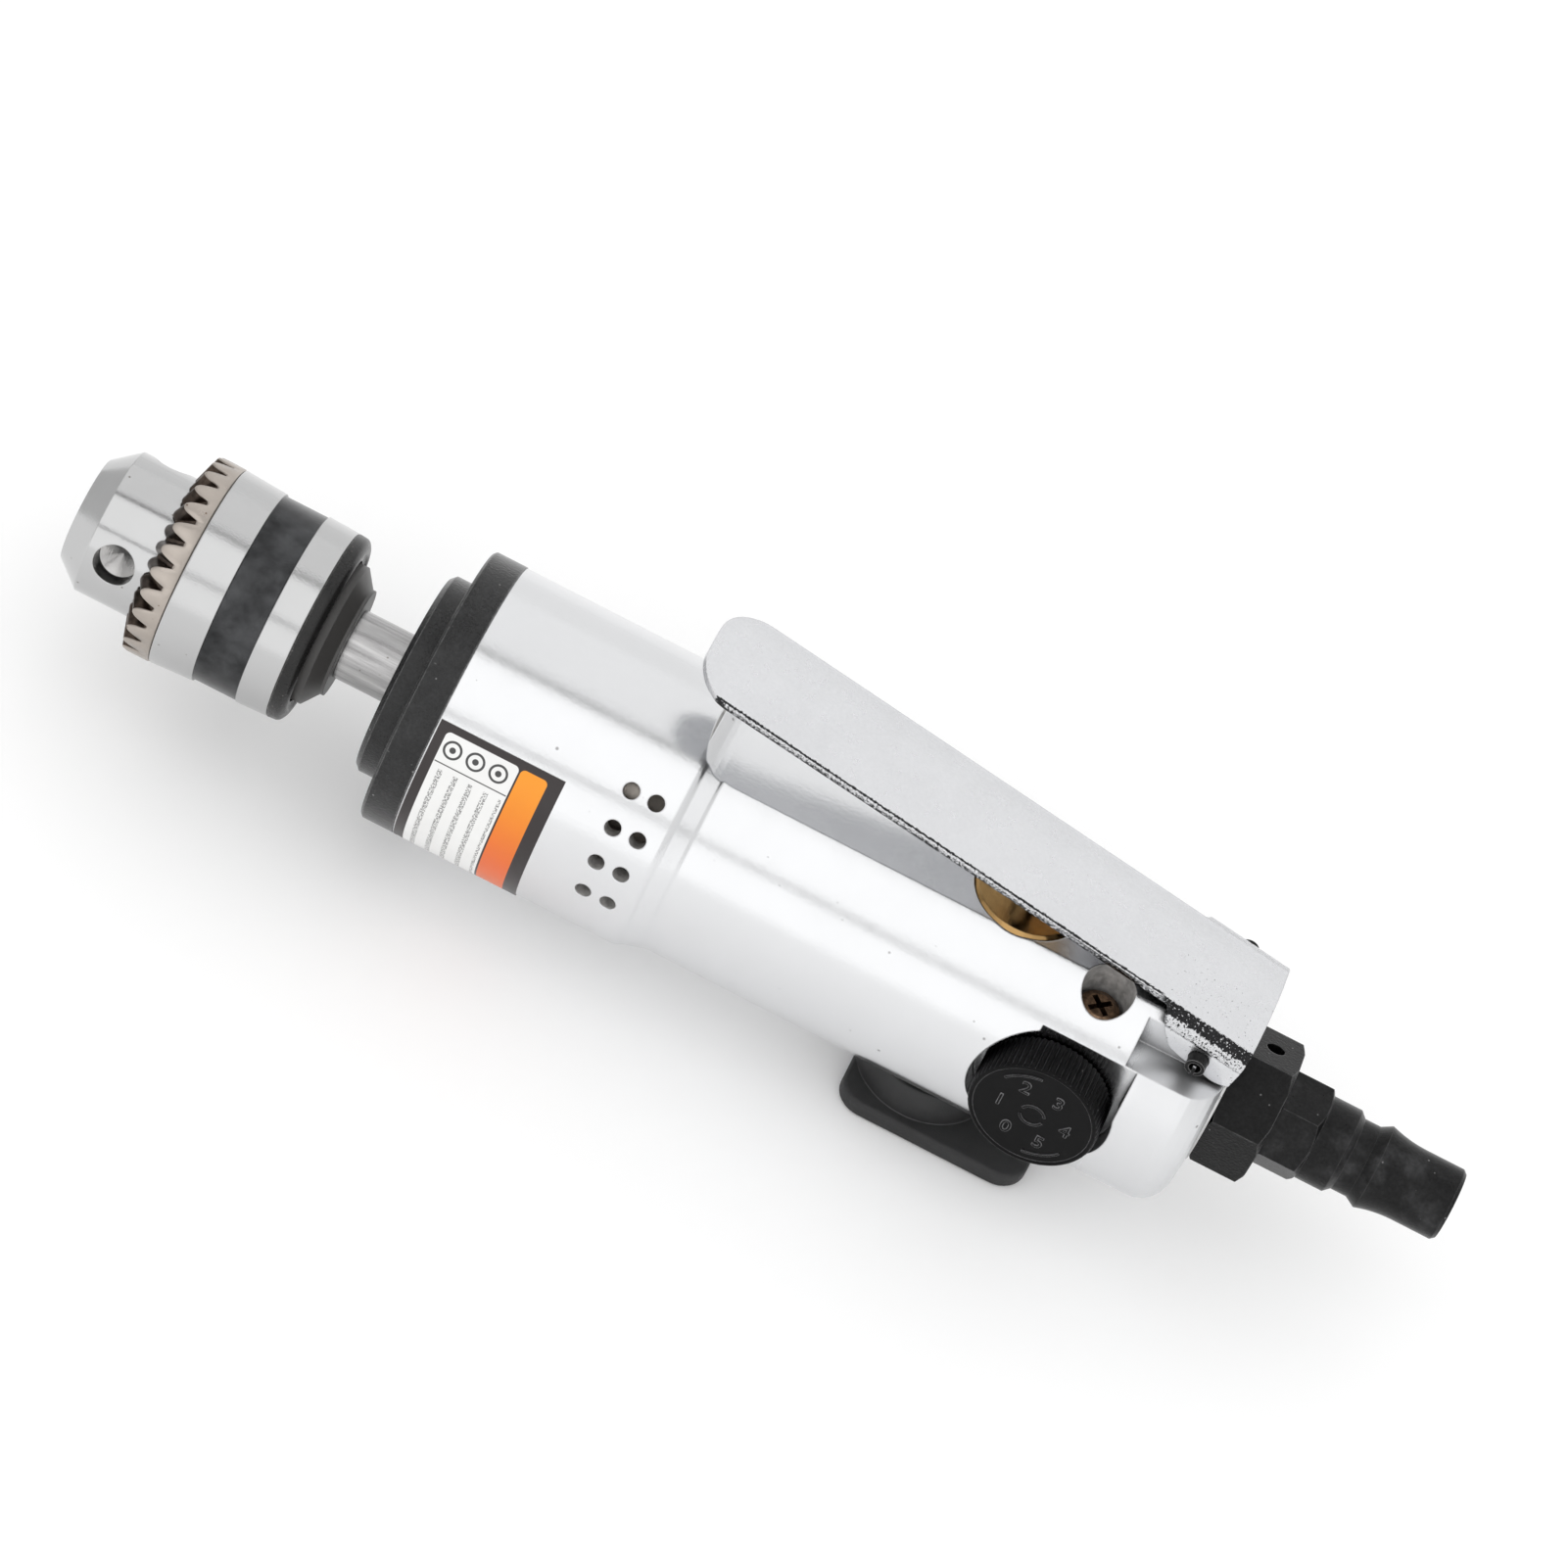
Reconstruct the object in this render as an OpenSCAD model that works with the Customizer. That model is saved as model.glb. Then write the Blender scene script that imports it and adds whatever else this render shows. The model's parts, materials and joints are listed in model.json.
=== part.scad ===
// Straight air drill with a keyed three-jaw chuck, a planetary gear, a vane motor and a lever throttle.
// The tool axis is X: the chuck's front face is at X = 0 and the air plug points to +X.
// Z is up, on the lever's side. The speed knob is on the -Y side.

/* [Chuck nose] */
// Radius of the nose's front face
nose_front_r = 8.35; // [7.6:0.05:9]
// Length of the nose's front cone
nose_cone_len = 4; // [2:0.5:5]
// Radius of the chuck body
nose_r = 11.65; // [11.4:0.05:11.7]
// Front face to the toothed ring
nose_len = 13.2; // [12.6:0.1:14]
// Radius of the hole that takes the drill bit
bit_bore_r = 5.2; // [4.6:0.1:5.2]
// Depth of the bit hole
bit_bore_len = 24; // [20:0.5:26]
// Front face to the key holes
key_hole_x = 8.7; // [8:0.1:9.3]
// Radius of a key hole
key_hole_r = 3.3; // [3:0.05:3.4]
// Distance of a key hole's flat bottom from the axis
key_hole_bottom = 6.6; // [6.4:0.1:8]
// Turn of the first key hole, from the knob's side upwards
key_hole_turn = 17; // [0:1:119]

/* [Chuck sleeve] */
// Number of teeth for the chuck key
tooth_count = 27; // [20:1:30]
// Length of the toothed ring
gear_ring_len = 5.7; // [5.4:0.1:6.5]
// Outer radius of the toothed ring
gear_ring_r = 16.2; // [15.8:0.1:17]
// Length of the toothed cone
tooth_cone_len = 2.1; // [1.8:0.1:2.4]
// Depth of the gaps between teeth, along the axis
tooth_depth = 2.9; // [2:0.1:3.1]
// Half of the angle between two teeth
tooth_half_angle = 30; // [20:1:32]
// Length of the sleeve's front taper
sleeve_front_len = 7.1; // [6:0.1:9]
// Radius at the taper's rear end
sleeve_front_r = 15.65; // [15.5:0.05:15.9]
// Length of the dark band
band_len = 7.3; // [5:0.1:9]
// Radius of the dark band
band_r = 15.45; // [15.2:0.05:15.6]
// Length of the sleeve behind the band
sleeve_rear_len = 5.1; // [4:0.1:7]
// Radius of the sleeve behind the band
sleeve_rear_r = 15.4; // [15.2:0.05:15.6]
// Radius inside the sleeve
sleeve_bore_r = 14.2; // [14:0.05:14.4]
// Length of the black ring behind the sleeve
rear_ring_len = 2.5; // [2.2:0.1:4]
// Rounding of the black ring's rear edge
rear_ring_round = 1.8; // [0.5:0.1:2]
// Length of the black ring's part inside the sleeve
rear_ring_spigot = 2; // [1:0.1:3]

/* [Chuck jaws and nut] */
// Radius of a jaw
jaw_r = 2.8; // [2.5:0.05:2.9]
// Slant of the jaws against the tool axis
jaw_slant = 15; // [14:0.5:16]
// Distance of a jaw's centre line from the axis at the front face
jaw_start = 3.7; // [3.5:0.05:3.9]
// Radius left open between the jaws at rest
jaw_opening = 5.25; // [5.25:0.05:5.6]
// Front face to the tips of the open jaws
jaw_front = 0.8; // [0.3:0.1:2]
// Outer radius to which the jaws are ground
jaw_limit_r = 13.9; // [13.6:0.05:13.9]
// Length of the nut that drives the jaws
nut_len = 6; // [4:0.5:7]
// Front of the toothed ring to the nut
nut_inset = 2.8; // [2.6:0.1:3.2]
// Radius at the bottom of the nut's groove
nut_groove_r = 10.7; // [10:0.1:10.8]
// Gap between the nut's two halves
nut_split = 0.4; // [0.2:0.1:1]

/* [Chuck rear] */
// Radius of the chuck body behind the sleeve
chuck_tail_r = 11.5; // [11:0.1:11.7]
// Length of the straight part behind the black ring
chuck_tail_len = 1.1; // [0.6:0.1:2]
// Length of the rear cone
chuck_cone_len = 2; // [1:0.1:3]
// Radius at the rear cone's end
chuck_cone_r = 8.8; // [8:0.1:10]
// Length of the rear face's rim
chuck_rim_len = 0.5; // [0.3:0.1:1]
// Radius of the left-hand screw in the bit hole
chuck_screw_r = 1.7; // [1.5:0.1:2]
// Radius of that screw's head
chuck_screw_head_r = 3.4; // [3:0.1:4]
// Radius of the pocket for its head, at the end of the bit hole
screw_pocket_r = 4.7; // [4:0.1:4.8]
// Length of that screw's head
chuck_screw_head_len = 2.2; // [1.8:0.1:3]

/* [Spindle] */
// Radius of the spindle between chuck and cap
spindle_r = 5.65; // [5.5:0.05:5.8]
// Radius of the spindle's thread in the chuck
spindle_thread_r = 4.75; // [4.4:0.05:5]
// Length of the spindle's thread
spindle_thread_len = 13.2; // [11:0.1:14]
// Length of spindle that shows between chuck and cap
neck_len = 9.2; // [7:0.1:12]
// Radius of the spindle in its bearing
spindle_seat_r = 6; // [5.9:0.05:6.4]

/* [Front cap] */
// Radius of the cap's front step
cap_nose_r = 16.4; // [15.8:0.1:18]
// Length of the cap's front step
cap_nose_len = 4.1; // [3:0.1:5]
// Chamfer of the cap's edges
cap_chamfer = 0.8; // [0.3:0.1:1.2]
// How far the cap's flange stands out of the housing's side
cap_rise = 0.15; // [0.05:0.05:0.8]
// Length of the cap's flange
cap_len = 5.4; // [4:0.1:7]
// Radius of the felt seal round the spindle
seal_r = 9; // [8:0.1:10]
// Length of the felt seal
seal_len = 2; // [1.5:0.1:2.3]

/* [Bearings] */
// Outer radius of the spindle bearing
main_bearing_r = 14; // [13.6:0.1:14.5]
// Width of the spindle bearing
main_bearing_len = 8; // [7:0.1:9]
// Ball radius of the spindle bearing
main_ball_r = 1.9; // [1.7:0.05:2]
// Number of balls in the spindle bearing
main_ball_count = 9; // [7:1:10]
// Outer radius of the motor's front bearing
front_bearing_r = 9.5; // [9.3:0.1:10]
// Outer radius of the motor's rear bearing
rear_bearing_r = 8; // [7.8:0.1:8.5]
// Width of the motor's bearings
motor_bearing_len = 5; // [4:0.1:5.2]
// Ball radius of the motor's bearings
motor_ball_r = 1.1; // [0.9:0.05:1.15]
// Number of balls in each motor bearing
motor_ball_count = 8; // [7:1:9]

/* [Planetary gear] */
// Module of the teeth
gear_module = 0.7; // [0.68:0.01:0.72]
// Pressure angle of the teeth
pressure_angle = 25; // [24:0.5:26]
// Tip height over the pitch circle, in modules
tooth_tip = 0.8; // [0.7:0.05:0.8]
// Root depth under the pitch circle, in modules
tooth_root = 1.05; // [1:0.05:1.2]
// Play between two meshing teeth
backlash = 0.12; // [0.08:0.01:0.16]
// Length of the planet gears
planet_len = 8; // [6:0.1:10]
// Thickness of the carrier's front plate
carrier_front_len = 4; // [3:0.1:5]
// Thickness of the carrier's rear plate
carrier_rear_len = 2.5; // [2:0.1:4]
// Radius of the carrier
carrier_r = 14.5; // [14:0.1:14.8]
// Radius of the planet pins
planet_pin_r = 1.75; // [1.5:0.05:2]
// Radius of the posts between the planets
carrier_post_r = 3; // [2:0.1:3.2]
// Wall of the ring gear behind its teeth
ring_gear_wall = 0.95; // [0.8:0.05:1.2]

/* [Vane motor] */
// Thickness of the front end plate's flange
end_flange_len = 3; // [2:0.1:4]
// Length of the front end plate behind its flange
end_plate_len = 8; // [7:0.1:9]
// Outer radius of the cylinder and end plates
cylinder_r = 16.4; // [16:0.1:16.8]
// Length of the cylinder
cylinder_len = 38; // [34:0.5:42]
// Radius of the cylinder's bore
cylinder_bore_r = 14; // [13.9:0.05:14.2]
// Distance of the bore from the tool axis
cylinder_offset = 1.2; // [1:0.05:1.2]
// Radius of the rotor
rotor_r = 12.7; // [12.3:0.05:12.7]
// Number of vanes
vane_count = 5; // [4:1:6]
// Thickness of a vane
vane_w = 1.5; // [1.2:0.1:1.8]
// Height of a vane
vane_h = 5.4; // [4.5:0.1:5.6]
// Radius of the dowel through the rear end plate and the cylinder
dowel_r = 1; // [0.8:0.05:1.1]
// Length of the dowel's hole
dowel_len = 7; // [5:0.5:8]
// Thickness of the rear end plate
rear_plate_len = 6.3; // [6:0.1:8]
// Radius of the rotor's front shaft
rotor_front_r = 5; // [4.9:0.05:5.2]
// Radius of the rotor's rear shaft
rotor_rear_r = 4; // [3.8:0.05:4.2]

/* [Housing] */
// Radius of the housing's front part
body_r = 22.2; // [21.8:0.1:22.2]
// Length of the housing's front part
body_front_len = 36.8; // [36:0.5:40]
// Length of the shoulder
shoulder_len = 5; // [3:0.5:8]
// Step from the housing's front part down to its rear part
rear_step = 1.6; // [1.2:0.1:2]
// Depth of the flat along the top of the rear part
flat_depth = 1.8; // [1.4:0.1:2.2]
// Radius of the cutter that ends the flat
flat_runout_r = 8; // [5:0.5:12]
// Rounding of the housing's rear edge
rear_round = 5; // [3:0.5:5]
// Rounding of the front part's end at the shoulder
shoulder_round = 2.4; // [1:0.1:3]
// Fillet from the shoulder into the rear part
shoulder_fillet = 1.2; // [0.6:0.1:2]
// Motor to the throttle valve's axis
throttle_inset = 13; // [12.5:0.1:15]
// Throttle valve to the speed valve's axis
regulator_step = 15; // [14.8:0.1:17]
// Speed valve to the lever's pin
pin_step = 18; // [17:0.1:20]
// Lever's pin to the housing's rear face
tail_len = 5.4; // [5:0.1:8]
// Radius of the exhaust holes
exhaust_r = 1.3; // [1:0.1:1.5]
// Distance between the two rows of exhaust holes
exhaust_row_step = 4.1; // [3.5:0.1:4.4]
// Front end plate's flange to the first row
exhaust_inset = 6.2; // [5.5:0.1:6.5]
// Turn of the lowest exhaust holes, from the knob's side upwards
exhaust_turn = -2.9; // [-10:0.1:10]
// Turn from one exhaust hole to the next
exhaust_turn_step = 16.1; // [14:0.1:18]
// Number of exhaust holes in a row
exhaust_count = 4; // [2:1:5]

/* [Label] */
// Length of the label along the tool
label_len = 20.5; // [16:0.5:22]
// Turn of the label's lower edge
label_turn = -48; // [-60:1:-30]
// Angle that the label covers
label_sweep = 85; // [60:1:100]
// Thickness of the label
label_t = 0.2; // [0.15:0.05:0.4]

/* [Throttle lever] */
// Distance of the lever's pin below the flat
pin_drop = 3; // [2.8:0.1:3.2]
// Radius of the lever's pin
pin_r = 1.55; // [1.4:0.05:1.6]
// Length of pin that stands out of each ear
pin_reach = 1.9; // [0.5:0.1:3]
// Tilt of the released lever
lever_tilt = 9.5; // [9:0.1:11]
// Height of the blade's underside over the pin
lever_lift = 4.25; // [4:0.05:4.8]
// Pin to the front end of the lever
lever_len = 93.5; // [85:0.5:97]
// Half of the blade's width
lever_half_w = 9.4; // [8.5:0.1:9.6]
// Corner radius of the blade's front end
lever_corner_r = 7; // [4:0.5:8.5]
// Thickness of the lever's sheet
lever_t = 1.2; // [1:0.1:1.4]
// Crown radius of the blade
lever_crown_r = 45; // [38:1:80]
// Bend radius of the ears
ear_bend_r = 3; // [2.4:0.1:3.2]
// Pin to the front end of the ears
ear_front_len = 7.3; // [6.5:0.1:8]
// Pin to the rear end of the lever
ear_rear_len = 6.1; // [5:0.1:6.4]
// Depth of the ears below the pin
ear_drop = 2.3; // [2.1:0.1:2.4]
// Height of the corner where the ear's front edge slants down
ear_chamfer_z = 2.2; // [1:0.1:3]
// Distance from the pin to the ear's front lower corner
ear_toe = 4.6; // [3:0.1:5]
// Half of the width of the lug between the ears
lug_half_w = 10.4; // [10:0.1:10.6]
// Height of the recess floor under the ears, below the flat
ear_floor_drop = 6.5; // [6.4:0.1:7]
// Pin to the front wall of the ears' recess
ear_recess_len = 9.2; // [9:0.1:10]

/* [Throttle valve] */
// Radius of the brass bushing's head
bushing_head_r = 8.8; // [8.4:0.1:9.2]
// Height of the bushing's head
bushing_head_h = 4; // [3.5:0.1:4.4]
// Height of the bushing's head over the flat
bushing_stand = 0.25; // [0:0.05:0.5]
// Radius of the throttle chamber
chamber_r = 6; // [5.8:0.1:6.4]
// Bottom of the throttle chamber, below the tool axis
chamber_depth = 4.6; // [4.4:0.1:5]
// Height of the bushing's lower end over the axis
bushing_bottom = 6.5; // [6.3:0.1:7.5]
// Radius of the throttle pin
stem_r = 2; // [1.8:0.05:2.1]
// Radius of the throttle's valve disc
disc_r = 4.6; // [4.2:0.1:4.8]
// Thickness of the valve disc
disc_h = 2.4; // [2:0.1:2.6]
// Wire radius of the throttle spring
spring_wire_r = 0.35; // [0.3:0.05:0.4]
// Mean radius of the throttle spring
spring_r = 3.2; // [3:0.1:3.4]
// Number of turns of the throttle spring
spring_turns = 4; // [3:0.5:5]

/* [Speed valve] */
// Height of the speed valve's axis over the tool axis
regulator_z = 1; // [0.4:0.1:1.4]
// Radius of the speed valve
regulator_r = 5; // [4.8:0.05:5.2]
// Radius of the cross hole in the speed valve
regulator_hole_r = 3.2; // [2.4:0.1:3.6]
// Distance of the speed valve's inner end past the axis
regulator_reach = 12; // [10:0.1:14]
// Radius of the knob
knob_r = 10.2; // [9.6:0.1:10.4]
// Height of the knob
knob_h = 6.7; // [5:0.1:8]
// Number of grooves round the knob
knob_grooves = 36; // [24:1:40]
// Radius of each groove in the knob's edge
knob_groove_r = 0.6; // [0.3:0.05:0.8]
// Bevel of the knob's face
knob_edge = 0.5; // [0.2:0.1:1]
// Distance of the knob's recess floor from the axis
recess_floor = 16.5; // [16:0.1:17]
// Radius of the knob's recess
recess_r = 11.4; // [11.2:0.1:12]
// Width of the cut that leads from the recess to the flat
recess_cut_front = 4.7; // [4:0.1:5.5]
// Radius of the retaining screw's counterbore
screw_sink_r = 4; // [3.8:0.1:4.2]
// Radius of the retaining screw's head
screw_head_r = 3.6; // [3.2:0.1:3.7]
// Height of the retaining screw's head
screw_head_h = 2.4; // [2:0.1:3]
// Depth of the counterbore below the flat
screw_sink_depth = 7; // [6:0.1:7.4]
// Radius of the retaining screw
screw_r = 2; // [1.8:0.05:2.1]
// Speed valve's axis to the retaining screw, along the tool
screw_dx = 1.6; // [1:0.1:2]
// Tool axis to the retaining screw, towards the knob
screw_dy = 9.5; // [9.3:0.1:9.8]

/* [Reversing valve] */
// Throttle valve's axis to the reversing valve's axis
reverse_step = 1.8; // [1:0.1:2.4]
// Radius of the reversing valve
reverse_r = 5; // [4.8:0.05:5.2]
// Top of the reversing valve, below the tool axis
reverse_top = 6.6; // [6.4:0.1:7.5]
// Depth of the flat under the hub
belly_flat_depth = 1.6; // [1.2:0.1:2]
// Radius of the reversing lever's hub
hub_r = 11; // [10:0.1:11.4]
// Height of the hub
hub_h = 6.2; // [5:0.1:8]
// Thickness of the reversing lever's plate
tab_t = 3; // [2.6:0.1:4]
// Valve axis to the plate's front edge
tab_front = 10.4; // [9:0.1:12]
// Valve axis to the plate's rear edge
tab_rear = 20.9; // [18:0.1:24]
// Half of the plate's width
tab_half_w = 12.9; // [11.6:0.1:14]
// Corner radius of the plate
tab_corner_r = 4.5; // [2:0.5:6]
// Radius of the screw that holds the reversing lever
tab_screw_r = 2; // [1.8:0.05:2.1]
// Radius of that screw's head
tab_screw_head_r = 3.4; // [3.2:0.1:3.8]
// Height of that screw's head
tab_screw_head_h = 2.2; // [1.8:0.1:2.4]

/* [Air inlet] */
// Width of the large hexagon across its flats
large_hex_af = 20; // [19:0.1:21]
// Length of the large hexagon
large_hex_len = 8.8; // [7:0.1:11]
// Turn of the large hexagon's first corner
large_hex_turn = 21; // [0:1:59]
// Radius of the hole in the large hexagon's face
hex_hole_r = 1.5; // [1:0.1:2]
// Radius of the washer
washer_r = 11.8; // [11:0.1:13]
// Thickness of the washer
washer_t = 0.6; // [0.4:0.1:1]
// Radius of the inlet bushing's thread
inlet_r = 8; // [7.6:0.1:8.4]
// Length of the inlet bushing's thread
inlet_thread_len = 14; // [12:0.1:14.5]
// Radius of the holes in the strainer cup
screen_hole_r = 0.7; // [0.4:0.05:0.8]
// Radius of the air passage
passage_r = 4; // [3.5:0.1:4.2]
// Width of the small hexagon across its flats
small_hex_af = 14; // [13:0.1:15]
// Length of the small hexagon
small_hex_len = 6.9; // [5:0.1:9]
// Turn of the small hexagon's first corner
small_hex_turn = 58; // [0:1:59]
// Radius of the plug's thread
plug_thread_r = 5.9; // [5.5:0.1:6.2]
// Length of the plug's thread
plug_thread_len = 6.8; // [5:0.1:8]
// Radius of the plug's two collars
plug_collar_r = 6.8; // [6.5:0.1:6.9]
// Length of the plug's front collar
plug_collar_len = 4.6; // [3:0.1:6]
// Length of the plug's neck behind its collar
plug_neck_len = 3.6; // [2:0.1:5]
// Length of the rise to the plug's shoulder
plug_rise_len = 1.7; // [1:0.1:3]
// Length of the plug's tapered shoulder
plug_taper_len = 6; // [4:0.1:8]
// Length of the plug's straight tip
plug_tip_len = 6.9; // [6.5:0.1:9]
// Radius of the plug's tip and groove
plug_tip_r = 5.85; // [5.6:0.05:6]
// Radius of the plug's bore
plug_bore_r = 3.75; // [3:0.05:4]

/* [Hidden] */
$fn = 64;

// Gaps: a seat that is pressed or screwed, a running fit, and parts that only pass each other
press_gap = 0.02;
run_gap = 0.1;
// Space between the rotor's front shaft and the end plate it passes through
shaft_gap = 0.6;
free_gap = 0.3;
// Overlap of a cutting tool past the face that it cuts
cut = 1;
pocket_gap = 0.08;
slot_gap = 0.05;

// Chuck stations along the tool
x_ring = nose_len;
x_nut = x_ring + nut_inset;
x_sleeve = x_ring + gear_ring_len;
x_band = x_sleeve + sleeve_front_len;
x_band_end = x_band + band_len;
x_sleeve_end = x_band_end + sleeve_rear_len;
x_rear_ring_end = x_sleeve_end + rear_ring_len;
x_tail_end = x_rear_ring_end + chuck_tail_len;
x_cone_end = x_tail_end + chuck_cone_len;
x_chuck_end = x_cone_end + chuck_rim_len;
x_thread = x_chuck_end - spindle_thread_len;
jaw_rear = x_sleeve_end - rear_ring_spigot - 1.8;
jaw_slope = tan(jaw_slant);
jaw_bore_r = jaw_r + run_gap;
chuck_cavity_r = gear_ring_r - 4.4;
lip_x = x_nut - run_gap;

// Cap and gear stations
x_cap = x_chuck_end + neck_len;
x_seal = x_cap + 1.3;
x_main_bearing = x_seal + seal_len + 0.5;
x_housing = x_cap + cap_nose_len + cap_len;
x_carrier = x_main_bearing + main_bearing_len + 1;
x_ring_gear = x_carrier + 3.5;
x_planet = x_carrier + carrier_front_len + 0.5;
x_planet_end = x_planet + planet_len;
x_carrier_rear = x_planet_end + 1;
x_carrier_end = x_carrier_rear + carrier_rear_len;
x_flange = x_carrier_end + 1.5;

// Gear sizes
sun_teeth = 12;
planet_teeth = 18;
ring_teeth = sun_teeth + 2 * planet_teeth;
planet_count = 3;
planet_orbit = gear_module * (sun_teeth + planet_teeth) / 2;
sun_tip_r = gear_module * (sun_teeth / 2 + tooth_tip);
ring_root_r = gear_module * (ring_teeth / 2 + tooth_root);
ring_gear_r = ring_root_r + ring_gear_wall;
spigot_r = ring_gear_r + 1;
front_bore_r = ring_gear_r + run_gap;
carrier_post_orbit = carrier_r - carrier_post_r - 0.4;

// Motor stations
x_plate = x_flange + end_flange_len;
x_cylinder = x_plate + end_plate_len;
x_rear_plate = x_cylinder + cylinder_len;
x_motor_end = x_rear_plate + rear_plate_len + 0.2;
x_front_bearing = x_cylinder - 4 - motor_bearing_len;
x_rear_bearing = x_rear_plate + rear_plate_len - motor_bearing_len;
x_exhaust = x_plate + exhaust_inset;
x_annulus_end = x_exhaust + exhaust_row_step + 3.2;
motor_bore_r = cylinder_r + run_gap;
port_y = 3;
port_z = -12;
port_r = 1.6;

// Rear stations and heights
x_shoulder = x_housing + body_front_len;
x_rear_part = x_shoulder + shoulder_len;
x_throttle = x_motor_end + throttle_inset;
x_reverse = x_throttle - reverse_step;
x_regulator = x_throttle + regulator_step;
x_pin = x_regulator + pin_step;
x_housing_end = x_pin + tail_len;
x_hex = x_housing_end + washer_t;
x_small_hex = x_hex + large_hex_len;
x_collar = x_small_hex + small_hex_len;
cap_r = body_r + cap_rise;
rear_r = body_r - rear_step;
dowel_z = (cylinder_bore_r - cylinder_offset + cylinder_r) / 2;
shoulder_turn = 42;
flat_z = rear_r - flat_depth;
pin_z = flat_z - pin_drop;
belly_z = -(rear_r - belly_flat_depth);
hub_top = belly_z - free_gap;
tab_top = hub_top - hub_h;
tab_bottom = tab_top - tab_t;
bushing_seat = flat_z + bushing_stand - bushing_head_h;
disc_top = bushing_bottom - free_gap;
disc_bottom = disc_top - disc_h;
regulator_start = -(recess_floor + free_gap);
x_screw = x_regulator + screw_dx;
screw_groove_r = 3.9;
seal_wire_r = 0.9;
ear_inner = lug_half_w + 0.2;
ear_outer = ear_inner + lever_t;

// Point list of an arc from angle a0 to a1 about [cx, cy]
function arc(cx, cy, r, a0, a1, steps = 6) = [
  for (i = [0 : steps]) let (a = a0 + (a1 - a0) * i / steps) [cx + r * cos(a), cy + r * sin(a)]
];

// Stands what is drawn along Z on the tool axis, from station x
module along_x(x = 0) {
  translate([x, 0, 0]) rotate([0, 90, 0]) children();
}

// Solid turned about the tool axis from [radius, station] points
module turned(points) {
  along_x() rotate_extrude() polygon(points);
}

module bar(x0, x1, r) {
  along_x(x0) cylinder(h = x1 - x0, r = r);
}

module tube(x0, x1, outer, inner) {
  difference() {
    bar(x0, x1, outer);
    bar(x0 - cut, x1 + cut, inner);
  }
}

// Turns what points to -Y up towards +Z
module toward(turn) {
  rotate([-turn, 0, 0]) children();
}

// Round bar along -Y from distance d0 to d1 of the tool axis
module side_bar(x, d0, d1, r) {
  translate([x, -d0, 0]) rotate([90, 0, 0]) cylinder(h = d1 - d0, r = r);
}

// Upright bar from z0 to z1
module post(x, y, z0, z1, r) {
  translate([x, y, z0]) cylinder(h = z1 - z0, r = r);
}

module hex_prism(x0, x1, across_flats, turn) {
  toward(turn) along_x(x0) rotate(-90) cylinder(h = x1 - x0, r = across_flats / sqrt(3), $fn = 6);
}

// Pressure angle at radius r of a gear with base radius rb
function roll_angle(rb, r) = acos(min(1, rb / r));

// Involute of angle a, in degrees
function involute(a) = tan(a) * 180 / PI - a;

// Half of the angle that a tooth takes at radius r
function half_tooth(teeth, r, thin) = let (
  rp = gear_module * teeth / 2,
  rb = rp * cos(pressure_angle)
) 90 / teeth - thin / rp * 90 / PI + involute(pressure_angle) - involute(roll_angle(rb, max(r, rb)));

// Outline of a gear with its first tooth at angle 0
function gear_points(teeth, root_r, tip_r, thin, steps = 4) = let (
  rb = gear_module * teeth / 2 * cos(pressure_angle),
  start = max(rb, root_r),
  rise = [root_r, for (i = [0 : steps]) start + (tip_r - start) * i / steps],
  last = len(rise) - 1
) [
  for (t = [0 : teeth - 1], side = [-1, 1], i = [0 : last])
    let (r = side < 0 ? rise[i] : rise[last - i], a = t * 360 / teeth + side * half_tooth(teeth, r, thin))
      [r * cos(a), r * sin(a)]
];

function outer_root(teeth) = gear_module * (teeth / 2 - tooth_root);
function outer_tip(teeth) = gear_module * (teeth / 2 + tooth_tip);

// Distance of a jaw's centre line from the axis at station x
function jaw_distance(x) = jaw_start + jaw_slope * x;

// Slanted round bar along a jaw's centre line, on the -Y side
module jaw_bar(x0, x1, r) {
  translate([x0, -jaw_distance(x0), 0]) rotate([0, 0, -jaw_slant]) rotate([0, 90, 0])
    cylinder(h = (x1 - x0) / cos(jaw_slant), r = r);
}

module each_jaw() {
  for (i = [0 : 2]) toward(key_hole_turn + 60 + 120 * i) children();
}

// Body of the chuck: a blind bit hole, slanted jaw holes and a thread for the spindle
module chuck_body() {
  color("silver") difference() {
    turned([
      [0, 0], [nose_front_r, 0], [nose_r, nose_cone_len], [nose_r, jaw_rear + 1],
      [chuck_tail_r, jaw_rear + 1.5], [chuck_tail_r, x_tail_end], [chuck_cone_r, x_cone_end],
      [chuck_cone_r, x_chuck_end], [0, x_chuck_end]
    ]);
    bar(-cut, bit_bore_len - chuck_screw_head_len, bit_bore_r);
    bar(bit_bore_len - chuck_screw_head_len - cut, bit_bore_len, screw_pocket_r);
    bar(bit_bore_len - cut, x_thread + cut, chuck_screw_r + press_gap);
    bar(x_thread, x_chuck_end + cut, spindle_thread_r + press_gap);
    tube(x_nut - run_gap, x_nut + nut_len + run_gap, nose_r + cut, nut_groove_r);
    each_jaw() jaw_bar(-2, jaw_rear + 0.6, jaw_bore_r);
    for (i = [0 : 2]) toward(key_hole_turn + 120 * i)
      side_bar(key_hole_x, key_hole_bottom, nose_r + cut, key_hole_r);
  }
}

// Left-hand screw that locks the chuck on the spindle, with its driver slot
module chuck_screw() {
  color("dimgray") difference() {
    union() {
      bar(bit_bore_len - chuck_screw_head_len, bit_bore_len, chuck_screw_head_r);
      bar(bit_bore_len, x_thread + 8, chuck_screw_r);
    }
    translate([bit_bore_len - chuck_screw_head_len - cut, -0.5, -chuck_screw_head_r - cut])
      cube([cut + 1, 1, 2 * (chuck_screw_head_r + cut)]);
  }
}

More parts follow.
